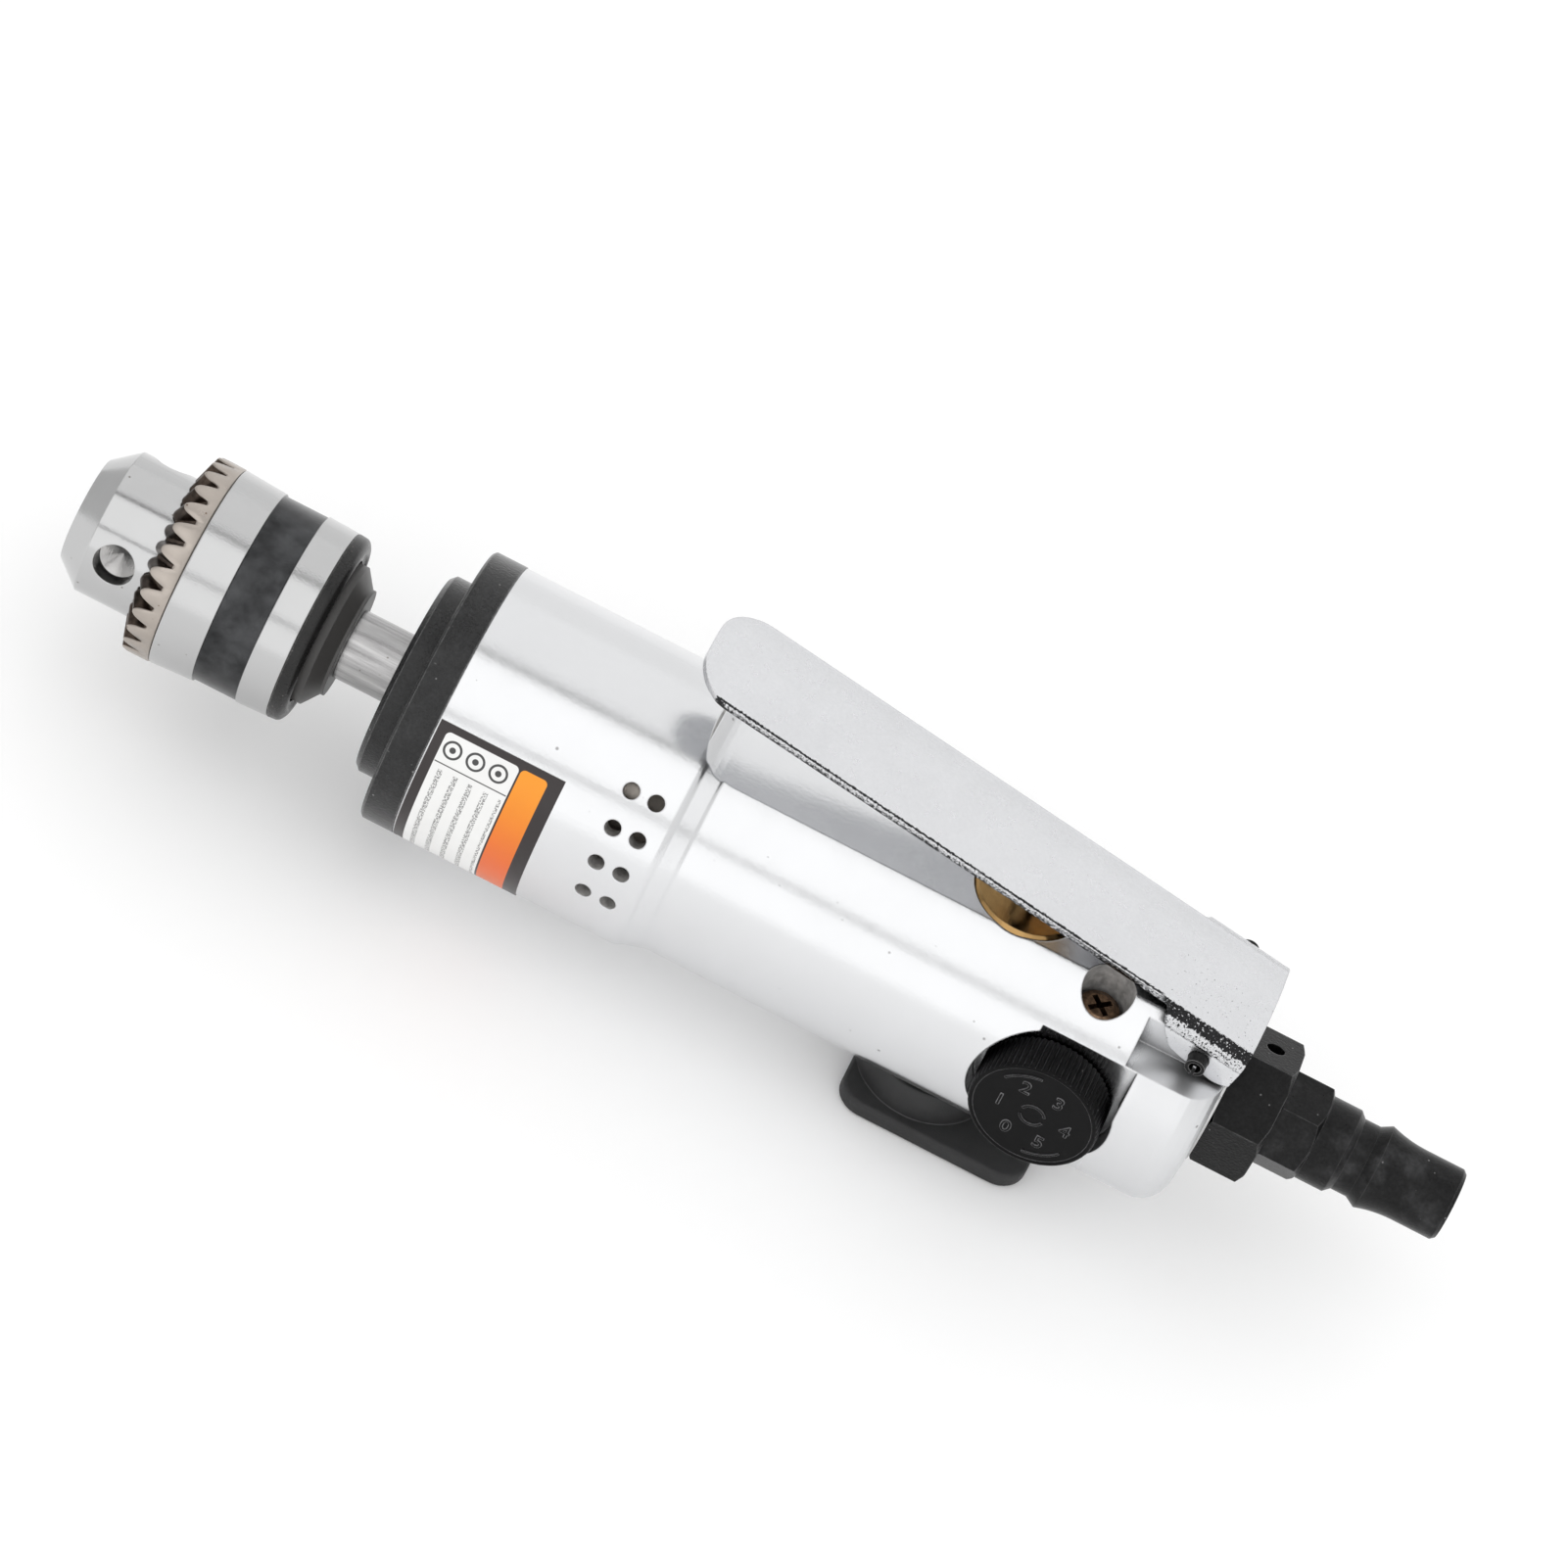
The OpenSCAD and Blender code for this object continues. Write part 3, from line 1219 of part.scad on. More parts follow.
// Inlet bushing: a chamfered hexagon with a small hole in one face, and a hollow thread
module inlet_bushing() {
  corner = large_hex_af / sqrt(3);
  x0 = x_hex - inlet_thread_len;
  color("dimgray") difference() {
    union() {
      bar(x0, x_hex, inlet_r);
      intersection() {
        hex_prism(x_hex, x_small_hex, large_hex_af, large_hex_turn);
        turned([
          [0, x_hex], [corner - 0.9, x_hex], [corner + 0.3, x_hex + 0.7],
          [corner + 0.3, x_small_hex - 0.9], [corner - 1.2, x_small_hex], [0, x_small_hex]
        ]);
      }
    }
    bar(x0 - cut, x_small_hex, passage_r + 0.6);
    bar(x_small_hex - plug_thread_len - 0.4, x_small_hex + cut, plug_thread_r + press_gap);
    toward(large_hex_turn + 90) side_bar(x_hex + large_hex_len / 2, 8, large_hex_af, hex_hole_r);
  }
}

// Strainer cup in the inlet bushing, closed in front, with three rows of holes
module inlet_screen() {
  x0 = x_hex - inlet_thread_len + 1.2;
  x1 = x_small_hex - plug_thread_len - 0.6;
  color("darkgray") difference() {
    bar(x0, x1, passage_r + 0.6 - press_gap);
    bar(x0 + 0.6, x1 + cut, passage_r);
    for (row = [0 : 2], i = [0 : 5]) toward(60 * i + 30 * row)
      side_bar(x0 + 2.4 + 2.6 * row, 2, passage_r + 2, screen_hole_r);
    for (i = [0 : 5]) toward(60 * i) side_hole(x0, 2.2);
    along_x(x0 - cut) cylinder(h = 3, r = screen_hole_r);
  }
}

module side_hole(x, d) {
  translate([x - cut, -d, 0]) rotate([0, 90, 0]) cylinder(h = 3, r = 0.85 * screen_hole_r);
}

// Male quick-connect plug
module air_plug() {
  corner = small_hex_af / sqrt(3);
  x1 = x_collar + plug_collar_len;
  x2 = x1 + plug_neck_len;
  x3 = x2 + plug_rise_len;
  x4 = x3 + plug_taper_len;
  x5 = x4 + plug_tip_len;
  swell = plug_collar_r - plug_tip_r;
  color("dimgray") difference() {
    union() {
      bar(x_small_hex - plug_thread_len, x_small_hex + 1, plug_thread_r);
      intersection() {
        hex_prism(x_small_hex, x_collar, small_hex_af, small_hex_turn);
        turned([
          [0, x_small_hex], [corner - 0.5, x_small_hex], [corner + 0.3, x_small_hex + 0.5],
          [corner + 0.3, x_collar - 0.9], [corner - 1.3, x_collar], [0, x_collar]
        ]);
      }
      turned(concat(
        [[0, x_collar - 2], [plug_tip_r, x_collar - 2], [plug_tip_r, x_collar], [plug_collar_r, x_collar],
         [plug_collar_r, x1], [plug_tip_r, x1 + 1], [plug_tip_r, x2], [plug_collar_r, x3]],
        [for (i = [1 : 6]) let (t = i / 6) [plug_tip_r + swell * (1 - t) * (1 - t), x3 + plug_taper_len * t]],
        [[plug_tip_r, x5 - 0.6], [plug_tip_r - 0.5, x5], [0, x5]]
      ));
    }
    bar(x_small_hex - plug_thread_len - cut, x5 + cut, plug_bore_r);
  }
}

housing();
front_cap();
spindle_seal();
spindle();
chuck_body();
chuck_sleeve();
chuck_gear_ring();
chuck_rear_ring();
chuck_nut();
chuck_jaw_1();
chuck_jaw_2();
chuck_jaw_3();
chuck_screw();
spindle_bearing_outer();
spindle_bearing_inner();
spindle_bearing_balls();
ring_gear();
planet_gear_1();
planet_gear_2();
planet_gear_3();
planet_pins();
rotor();
rotor_vanes();
front_end_plate();
motor_cylinder();
rear_end_plate();
motor_dowel();
front_bearing_outer();
front_bearing_inner();
front_bearing_balls();
rear_bearing_outer();
rear_bearing_inner();
rear_bearing_balls();
throttle_lever();
lever_pin();
throttle_bushing();
throttle_stem();
throttle_spring();
speed_knob();
speed_valve();
speed_valve_seal();
retaining_screw();
reversing_lever();
reversing_valve();
reversing_valve_seal();
reversing_screw();
inlet_bushing();
inlet_washer();
inlet_screen();
air_plug();
label_plate();
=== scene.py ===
"""Air drill: finished surfaces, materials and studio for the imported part, in its frame."""
import json
import math
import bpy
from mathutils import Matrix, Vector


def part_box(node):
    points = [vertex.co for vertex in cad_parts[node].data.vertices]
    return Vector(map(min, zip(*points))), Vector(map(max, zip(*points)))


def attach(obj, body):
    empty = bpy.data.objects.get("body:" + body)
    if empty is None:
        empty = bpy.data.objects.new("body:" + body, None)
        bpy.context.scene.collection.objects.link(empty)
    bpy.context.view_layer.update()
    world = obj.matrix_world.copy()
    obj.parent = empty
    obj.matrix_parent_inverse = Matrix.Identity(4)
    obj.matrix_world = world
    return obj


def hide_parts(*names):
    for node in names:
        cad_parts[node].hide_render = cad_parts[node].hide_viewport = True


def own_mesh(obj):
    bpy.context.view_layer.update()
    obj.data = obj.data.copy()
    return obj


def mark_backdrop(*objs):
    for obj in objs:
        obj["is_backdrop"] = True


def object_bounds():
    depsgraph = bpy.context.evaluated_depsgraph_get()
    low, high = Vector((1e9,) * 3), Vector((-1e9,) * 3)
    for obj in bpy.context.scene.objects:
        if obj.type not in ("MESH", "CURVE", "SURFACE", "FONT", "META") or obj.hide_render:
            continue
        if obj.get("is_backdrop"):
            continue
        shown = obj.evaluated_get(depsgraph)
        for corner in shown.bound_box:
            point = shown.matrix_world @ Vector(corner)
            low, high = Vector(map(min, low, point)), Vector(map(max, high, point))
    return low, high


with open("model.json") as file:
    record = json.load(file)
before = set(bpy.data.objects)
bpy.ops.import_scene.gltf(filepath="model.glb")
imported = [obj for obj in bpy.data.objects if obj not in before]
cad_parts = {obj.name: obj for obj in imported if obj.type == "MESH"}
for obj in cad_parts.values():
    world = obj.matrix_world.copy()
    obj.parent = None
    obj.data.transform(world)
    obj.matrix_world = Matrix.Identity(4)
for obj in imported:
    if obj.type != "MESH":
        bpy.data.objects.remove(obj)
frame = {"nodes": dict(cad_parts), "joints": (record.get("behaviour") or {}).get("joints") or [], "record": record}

from types import SimpleNamespace

import bpy
import numpy as np
from bpy.props import FloatProperty, FloatVectorProperty, IntProperty, PointerProperty
from mathutils import Matrix, Vector

bl_info = {
    "name": "Air Drill Dress",
    "version": (1, 0, 0),
    "blender": (4, 5, 0),
    "location": "View3D > Sidebar > Air Drill",
    "description": "Dresses the packed air drill in finished surfaces and lights it",
    "category": "Object",
}

MM = 0.001
NODES = frame["nodes"]
JOINTS = {joint["name"]: joint for joint in frame["joints"]}
GLOSS = {}

# Places on the part that shapes and finishes share, in millimetres
BAND = (26.08, 33.22)            # stations of the sleeve's blackened band
NOSE_TAIL = (36.0, 38.0)         # stations over which the chuck body is painted dark behind the sleeve, a painted dark reflection
REAR_RING_FRONT = 38.4           # station where the shell of the rear ring begins
EXHAUST = (89.0, 100.0)          # stations of the exhaust holes
EXHAUST_FLOOR = 22.05            # radius under which the housing is inside an exhaust hole
SCREW_SINK = 4.05                # radius of the sink of the retaining screw
MATT_REAR = (176.0, 180.0)       # stations over which the housing turns matt
LABEL_SEAT, LABEL_OUTER, LABEL_INNER = 22.4, 22.38, 22.21    # radii of the label
KEY_HOLE = SimpleNamespace(floor=6.62, rise=1.75, reach=3.27)   # conical floor of a key hole
LEVER = SimpleNamespace(front=-93.5, rear=6.1, lift=4.25, tilt=math.radians(9.5))   # from the lever's pin


def length(label, text, default):
    """A length property in metres, given in millimetres."""
    return FloatProperty(name=label, description=text, default=default * MM, min=0.0, unit="LENGTH",
                         subtype="DISTANCE", precision=5)


def number(kind, label, text, default, **limits):
    """A count, a plain number or an angle."""
    return kind(name=label, description=text, default=default, **limits)


def colour(label, text, default):
    """A colour property."""
    return FloatVectorProperty(name=label, description=text, default=default, min=0.0, max=1.0, size=3,
                               subtype="COLOR")


class DrillSizes(bpy.types.PropertyGroup):
    """Sizes of the surfaces that replace plain solids."""

    tooth_count: number(IntProperty, "Chuck teeth", "Teeth for the key round the chuck", 27, min=8)
    valley_depth: length("Valley depth", "How far a valley between two teeth is cut back at the rim", 2.9)
    tooth_share: number(FloatProperty, "Tooth share", "Share of the pitch that a tooth takes", 0.82, min=0.3,
                        max=0.95)
    sheet: length("Lever sheet", "Thickness of the lever's sheet", 1.2)
    crown: length("Lever crown", "Radius of the lever's crown", 45.0)
    fold: length("Ear fold", "Outer radius of the fold from blade to ear", 3.0)
    blade_half: length("Blade half width", "Half of the blade's width", 9.4)
    tip_corner: length("Tip corner", "Radius of the corners of the lever's tip", 7.0)
    ear_front: length("Ear front", "Distance from the pin forward to the ear's front edge", 7.3)
    ear_drop: length("Ear drop", "How far the ears reach below the pin's axis", 2.3)
    spring_turns: number(IntProperty, "Spring turns", "Turns of the throttle's spring", 4, min=2)
    spring_wire: length("Spring wire", "Radius of the spring's wire", 0.35)
    knurls: number(IntProperty, "Knurls", "Ridges round the speed knob", 64, min=12)
    knurl_depth: length("Knurl depth", "Depth of the grooves between the knob's ridges", 0.42)
    rim: length("Knob rim", "Width of the raised rim round the knob's face", 0.7)
    numeral: length("Numeral height", "Height of the numbers on the knob", 3.5)
    label_border: length("Label border", "Width of the label's dark border at its end", 1.9)
    label_band: length("Label band", "Width of the label's coloured band", 4.4)


class DrillColours(bpy.types.PropertyGroup):
    """Colours of the finishes."""

    aluminium: colour("Aluminium", "Polished housing", (0.725, 0.73, 0.74))
    sheet: colour("Plated sheet", "Throttle lever", (0.695, 0.70, 0.715))
    steel: colour("Ground steel", "Chuck and spindle", (0.520, 0.521, 0.522))
    teeth: colour("Tooth ring", "Ring of teeth round the chuck", (0.44, 0.395, 0.355))
    oxide: colour("Black oxide", "Cap, inlet and plug", (0.0125, 0.0126, 0.0130))
    band: colour("Blackened band", "Dark band round the sleeve", (0.046, 0.047, 0.049))
    knob: colour("Knob plastic", "Speed knob", (0.0038, 0.0038, 0.0040))
    tab: colour("Tab plastic", "Reversing lever", (0.034, 0.034, 0.0345))
    brass: colour("Brass", "Throttle bushing", (0.43, 0.265, 0.105))
    bronze: colour("Bronzed steel", "Retaining screw", (0.27, 0.17, 0.105))
    label_field: colour("Label field", "Light field of the label", (0.80, 0.80, 0.79))
    label_band: colour("Label band", "Coloured band of the label at its upper end", (0.86, 0.30, 0.008))
    label_band_low: colour("Label band below", "Coloured band of the label lower down", (0.74, 0.125, 0.014))
    label_border: colour("Label border", "Dark border of the label", (0.022, 0.016, 0.016))


class DrillStudio(bpy.types.PropertyGroup):
    """Camera and light."""

    roll: number(FloatProperty, "Roll", "Turn of the picture", math.radians(27.06), subtype="ANGLE")
    lens: number(FloatProperty, "Lens", "Focal length in millimetres on a 36 mm sensor", 163.6)
    world_level: number(FloatProperty, "World", "Level of the even light all round", 0.955)
    box_level: number(FloatProperty, "Softboxes", "How much the softboxes add to the white round them", 0.36)
    card_tone: number(FloatProperty, "Card", "Tone of the grey card behind the object", 0.98)


def settings(holder):
    """What the panel holds in one group: lengths in millimetres, colours as tuples and the rest as it is."""
    held, found = getattr(bpy.context.scene, holder), {}
    for key, prop in GROUPS[holder].__annotations__.items():
        value = getattr(held, key)
        if prop.keywords.get("unit") == "LENGTH":
            value = value / MM
        found[key] = value if isinstance(value, (int, float)) else tuple(value)
    return SimpleNamespace(**found)


def sizes():
    """The sizes on the panel."""
    return settings("drill_sizes")


def tones():
    """The colours on the panel."""
    return settings("drill_colours")


# Shapes. Points are in millimetres until they become a mesh.


def quads(rows, cols, wrap_rows=False, wrap_cols=True):
    """Faces of a grid: each joins a point, the next one in its row, and the two across from them."""
    i = np.arange(rows if wrap_rows else rows - 1)[:, None]
    j = np.arange(cols if wrap_cols else cols - 1)[None, :]
    k, n = (j + 1) % cols, (i + 1) % rows
    return np.stack([i * cols + j, i * cols + k, n * cols + k, n * cols + j], -1).reshape(-1, 4).tolist()


def circle(steps):
    """Angles round a full circle, as one row."""
    return np.linspace(0, 2 * np.pi, steps, endpoint=False)[None, :]


def swept(axis, at, r, a, along, ends="lids"):
    """A grid of points round a line through a point, and its faces. With c = r cos a and s = r sin a, a point
    is (along, -c, s) round X, (c, along, s) round Y and (c, s, along) round Z. Two flat lids close the first
    and the last row, or the last row joins the first one ("loop"), or the grid stays an open "sheet"."""
    c, s = r * np.cos(a), r * np.sin(a)
    parts = {"X": (along, -c, s), "Y": (c, along, s), "Z": (c, s, along)}[axis]
    points = np.stack(np.broadcast_arrays(*parts), -1) + np.asarray(at)
    rows, cols = points.shape[:2]
    faces = quads(rows, cols, ends == "loop", ends != "sheet")
    if ends == "lids":
        first = np.arange(cols)
        faces += [first[::-1].tolist(), (first + (rows - 1) * cols).tolist()]
    return points, faces


def softened(corners, setback, steps=5):
    """A closed polyline whose corners are rounded: each corner C becomes the quadratic curve
    (1-s)^2 A + 2s(1-s) C + s^2 B, with A and B the setback away along its two sides."""
    c = np.asarray(corners, float)
    d = np.asarray(setback, float)[:, None]
    before, after = np.roll(c, 1, 0) - c, np.roll(c, -1, 0) - c
    lb, la = np.linalg.norm(before, axis=1, keepdims=True), np.linalg.norm(after, axis=1, keepdims=True)
    a = c + before / lb * np.minimum(d, lb * 0.45)
    b = c + after / la * np.minimum(d, la * 0.45)
    s = np.linspace(0, 1, steps)[None, :, None]
    points = ((1 - s) ** 2 * a[:, None] + 2 * s * (1 - s) * c[:, None] + s ** 2 * b[:, None]).reshape(-1, 2)
    apart = np.linalg.norm(points - np.roll(points, 1, 0), axis=1) > 1e-4
    return points[apart]


def placed_mesh(name, points, faces, material):
    """A mesh object at the origin, from points in metres."""
    mesh = bpy.data.meshes.new(name)
    mesh.from_pydata(np.asarray(points, float).reshape(-1, 3), [], faces)
    mesh.update()
    mesh.materials.append(material)
    made = bpy.data.objects.new(name, mesh)
    bpy.context.scene.collection.objects.link(made)
    return made


def piece(name, shape, body, slot, crease=34.0, material=None):
    """A piece that rides on a body, smooth but for edges sharper than the crease, in its slot's material
    or another. Where the sum of each triangle's a · (b × c) is negative, its faces are turned outwards."""
    points = np.asarray(shape[0], float).reshape(-1, 3) * MM
    made = placed_mesh(name, points, shape[1], material or finishes()[slot])
    mesh = made.data
    mesh.calc_loop_triangles()
    tri = np.zeros(len(mesh.loop_triangles) * 3, np.int32)
    mesh.loop_triangles.foreach_get("vertices", tri)
    a, b, c = points[tri].reshape(-1, 3, 3).transpose(1, 0, 2)
    if np.einsum("ij,ij->i", a, np.cross(b, c)).sum() < 0:
        mesh.flip_normals()
    smoothed(mesh, crease)
    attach(made, body)
    return made


def smoothed(mesh, crease):
    """Smooth shading, but for edges sharper than the crease."""
    mesh.shade_smooth()
    mesh.set_sharp_from_angle(angle=math.radians(crease))


def joined(*parts):
    """Points and faces of several closed shells as one list each."""
    points, faces, start = [], [], 0
    for part_points, part_faces in parts:
        part_points = np.asarray(part_points, float).reshape(-1, 3)
        points.append(part_points)
        faces += [[int(v) + start for v in face] for face in part_faces]
        start += len(part_points)
    return np.concatenate(points), faces


def turned_ring(outline, setback):
    """A ring turned about the tool's axis, from the closed outline (x, r) with softened corners."""
    p = softened(outline, setback)
    return swept("X", 0, p[:, 1:], circle(256), p[:, :1], "loop")


def evaluated(made):
    """The mesh that an object's modifiers or its curve give."""
    graph = bpy.context.evaluated_depsgraph_get()
    graph.update()
    return bpy.data.meshes.new_from_object(made.evaluated_get(graph))


def box_mm(name):
    """Lowest and highest corner of a node, in millimetres."""
    return (np.array(corner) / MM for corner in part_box(name))


# Shader trees. A helper that builds nodes finds its tree by the sockets that it is given.


def put(socket, value):
    """Sets an input: a socket is joined to it, anything else becomes its value."""
    if isinstance(value, bpy.types.NodeSocket):
        socket.id_data.links.new(value, socket)
    else:
        socket.default_value = value


def node(tree, kind, inputs=None, **options):
    """A shader node with its options and its inputs."""
    made = tree.nodes.new(kind)
    for key, value in options.items():
        setattr(made, key, value)
    for key, value in (inputs or {}).items():
        put(made.inputs[key], value)
    return made


def tree_of(values):
    """The tree of the first socket among some values."""
    return next(value.id_data for value in values if isinstance(value, bpy.types.NodeSocket))


def maths(operation, *values):
    """The result of one Math node."""
    return node(tree_of(values), "ShaderNodeMath", dict(enumerate(values)), operation=operation).outputs[0]


def times(first, *others):
    """The product of some numbers."""
    for other in others:
        first = maths("MULTIPLY", first, other)
    return first


def vectors(operation, *values):
    """The outputs of one Vector Math node."""
    return node(tree_of(values), "ShaderNodeVectorMath", dict(enumerate(values)), operation=operation).outputs


def scaled(vector, factor):
    """A vector or a colour times a number."""
    return node(tree_of([vector, factor]), "ShaderNodeVectorMath", {0: vector, "Scale": factor},
                operation="SCALE").outputs[0]


def distance(vector, kept):
    """The length of a vector along the axes that are kept."""
    return vectors("LENGTH", vectors("MULTIPLY", vector, kept)[0])["Value"]


def split(vector):
    """The three numbers of a vector."""
    return list(node(vector.id_data, "ShaderNodeSeparateXYZ", {0: vector}).outputs)


def faded(value, low, high, to_low=0.0, to_high=1.0):
    """A value moved smoothly from one range to another."""
    ends = {"Value": value, "From Min": low, "From Max": high, "To Min": to_low, "To Max": to_high}
    return node(value.id_data, "ShaderNodeMapRange", ends, interpolation_type="SMOOTHSTEP").outputs["Result"]


def clamped(value):
    """A number held between 0 and 1."""
    return node(value.id_data, "ShaderNodeClamp", {"Value": value}).outputs[0]


def mixed(factor, one, two):
    """A colour between two, where each may be a socket, a colour or a grey."""
    made = node(tree_of([factor, one, two]), "ShaderNodeMix", data_type="RGBA")
    for key, kind, value in (("Factor", "VALUE", factor), ("A", "RGBA", one), ("B", "RGBA", two)):
        if kind == "RGBA" and not isinstance(value, bpy.types.NodeSocket):
            value = (*value, 1.0) if isinstance(value, tuple) else (value, value, value, 1.0)
        put(next(s for s in made.inputs if s.name == key and s.type == kind), value)
    return next(s for s in made.outputs if s.type == "RGBA")


def shared(tree, key, **inputs):
    """The outputs of one of the shared groups, placed in a tree with its own values."""
    made = tree.nodes.new("ShaderNodeGroup")
    made.node_tree = GLOSS[key]
    for label, value in inputs.items():
        put(made.inputs[label.replace("_", " ")], value)
    return made.outputs


def cloud(place, size, amount):
    """Soft cloudiness round 1."""
    return shared(place.id_data, "cloud", Place=place, Size=size, Amount=amount)[0]


def group(key, name, inputs, outputs):
    """A shared shader node group, as its tree, the values it is given, and a call that takes its results.
    An input without a default value, and an output named Place or Normal, is a vector."""
    tree = GLOSS[key] = bpy.data.node_groups.new(name, "ShaderNodeTree")
    for label, default in inputs.items():
        kind = "NodeSocketVector" if default is None else "NodeSocketFloat"
        socket = tree.interface.new_socket(name=label, in_out="INPUT", socket_type=kind)
        if default is not None:
            socket.default_value = default
    for label in outputs:
        kind = "NodeSocketVector" if label in ("Place", "Normal") else "NodeSocketFloat"
        tree.interface.new_socket(name=label, in_out="OUTPUT", socket_type=kind)
    start, end = tree.nodes.new("NodeGroupInput"), tree.nodes.new("NodeGroupOutput")

    def give(**results):
        for label, value in results.items():
            put(end.inputs[label], value)
    return tree, start.outputs, give


def dots(place, scale, channel, reach, share):
    """Dots in the middles of random cells, kept where one channel of a cell's colour is below a share."""
    cells = node(place.id_data, "ShaderNodeTexVoronoi", {"Vector": place, "Scale": scale}).outputs
    dot = faded(cells["Distance"], 0.05, reach, 1.0, 0.0)
    chosen = node(place.id_data, "ShaderNodeSeparateColor", {"Color": cells["Color"]}).outputs[channel]
    return times(dot, maths("LESS_THAN", chosen, share))


def noise(place, scale, detail, **inputs):
    """The outputs of a Noise texture."""
    inputs.update(Vector=place, Scale=scale, Detail=detail)
    return node(place.id_data, "ShaderNodeTexNoise", inputs).outputs


def build_groups():
    """Place in millimetres, cloudiness, specks, turned lines, hair scratches, edges painted lighter for wear and
    highlight with painted crevice shade, rounded field.
    """
    tree, given, give = group("place", "Place mm", {}, ["Place"])
    give(Place=scaled(node(tree, "ShaderNodeTexCoord").outputs["Object"], 1000.0))

    tree, given, give = group("cloud", "Cloudiness", {"Place": None, "Size": 8.0, "Amount": 0.1}, ["Factor"])
    soft = noise(given["Place"], maths("DIVIDE", 1.0, given["Size"]), 4.0, Roughness=0.55)[0]
    swing = times(maths("SUBTRACT", soft, 0.5), given["Amount"])
    give(Factor=maths("MULTIPLY_ADD", swing, 2.0, 1.0))

    tree, given, give = group("specks", "Specks", {"Place": None, "Spacing": 3.0, "Share": 0.2}, ["Mask"])
    give(Mask=dots(given["Place"], maths("DIVIDE", 1.0, given["Spacing"]), 0, 0.14, given["Share"]))

    tree, given, give = group("lines", "Turned lines", {"Place": None, "Width": 0.12}, ["Height"])
    along = vectors("MULTIPLY", given["Place"], (1.0, 0.02, 0.02))[0]
    give(Height=noise(along, maths("DIVIDE", 1.0, given["Width"]), 2.0)[0])

    tree, given, give = group("hairs", "Hair scratches",
                              {"Place": None, "Length": 9.0, "Share": 0.05}, ["Mask"])
    bent = noise(given["Place"], 0.07, 1.0)["Color"]
    shifted = vectors("MULTIPLY_ADD", bent, (6.0, 6.0, 6.0), given["Place"])[0]
    turned = node(tree, "ShaderNodeVectorRotate", {"Vector": shifted, "Axis": (0.3, 0.2, 0.93), "Angle": 0.6},
                  rotation_type="AXIS_ANGLE").outputs[0]
    thin = vectors("MULTIPLY", turned, (1.0, 9.0, 9.0))[0]
    give(Mask=dots(thin, maths("DIVIDE", 1.0, given["Length"]), 1, 0.12, given["Share"]))

    tree, given, give = group("edges", "Worn edges", {"Radius": 0.0003}, ["Mask", "Open", "Normal"])
    rounded = node(tree, "ShaderNodeBevel", {"Radius": given["Radius"]}, samples=6).outputs[0]
    flat = node(tree, "ShaderNodeNewGeometry").outputs["Normal"]
    # Painted shade: ambient occlusion gives a factor that darkens the base colour in crevices and hollows
    around = node(tree, "ShaderNodeAmbientOcclusion", {"Distance": 0.006}, samples=8).outputs["AO"]
    give(Mask=faded(vectors("DOT_PRODUCT", rounded, flat)["Value"], 0.985, 0.90),
         Open=faded(around, 0.10, 0.62, 0.16, 1.0), Normal=rounded)

    tree, given, give = group("field", "Rounded field",
                              {"Place": None, "Centre": None, "Half size": None, "Corner": 0.6}, ["Mask"])
    away = vectors("ABSOLUTE", vectors("SUBTRACT", given["Place"], given["Centre"])[0])[0]
    over = split(vectors("SUBTRACT", away, given["Half size"])[0])
    px, py = (maths("MAXIMUM", maths("ADD", over[k], given["Corner"]), 0.0) for k in (0, 1))
    reach = maths("SQRT", maths("ADD", times(px, px), times(py, py)))
    give(Mask=faded(maths("SUBTRACT", reach, given["Corner"]), -0.03, 0.03, 1.0, 0.0))


class Finish:
    """A material in the making: its tree, its Principled shader and the place in millimetres."""

    def __init__(self, name, metal, rough, specular=0.5):
        self.material = bpy.data.materials.new(name)
        self.material.use_nodes = True
        self.tree = self.material.node_tree
        self.shader = self.tree.nodes["Principled BSDF"]
        self.set("Metallic", metal)
        self.set("Roughness", rough)
        self.set("Specular IOR Level", specular)
        self.place = shared(self.tree, "place")[0]

    def set(self, label, value):
        """Gives an input of the shader a value or a socket."""
        put(self.shader.inputs[label], value)

    def now(self, label):
        """The socket that is joined to an input of the shader."""
        return self.shader.inputs[label].links[0].from_socket

    def cover(self, factor, tone):
        """Lays a tone over the base colour by a factor."""
        self.set("Base Color", mixed(factor, self.now("Base Color"), tone))

    def roughen(self, factor, amount):
        """Adds to the roughness by a factor."""
        self.set("Roughness", maths("MULTIPLY_ADD", factor, amount, self.now("Roughness")))

    def dull(self, factor, amount):
        """Makes a metal less metallic by a factor."""
        self.set("Metallic", maths("SUBTRACT", 1.0, times(factor, amount)))


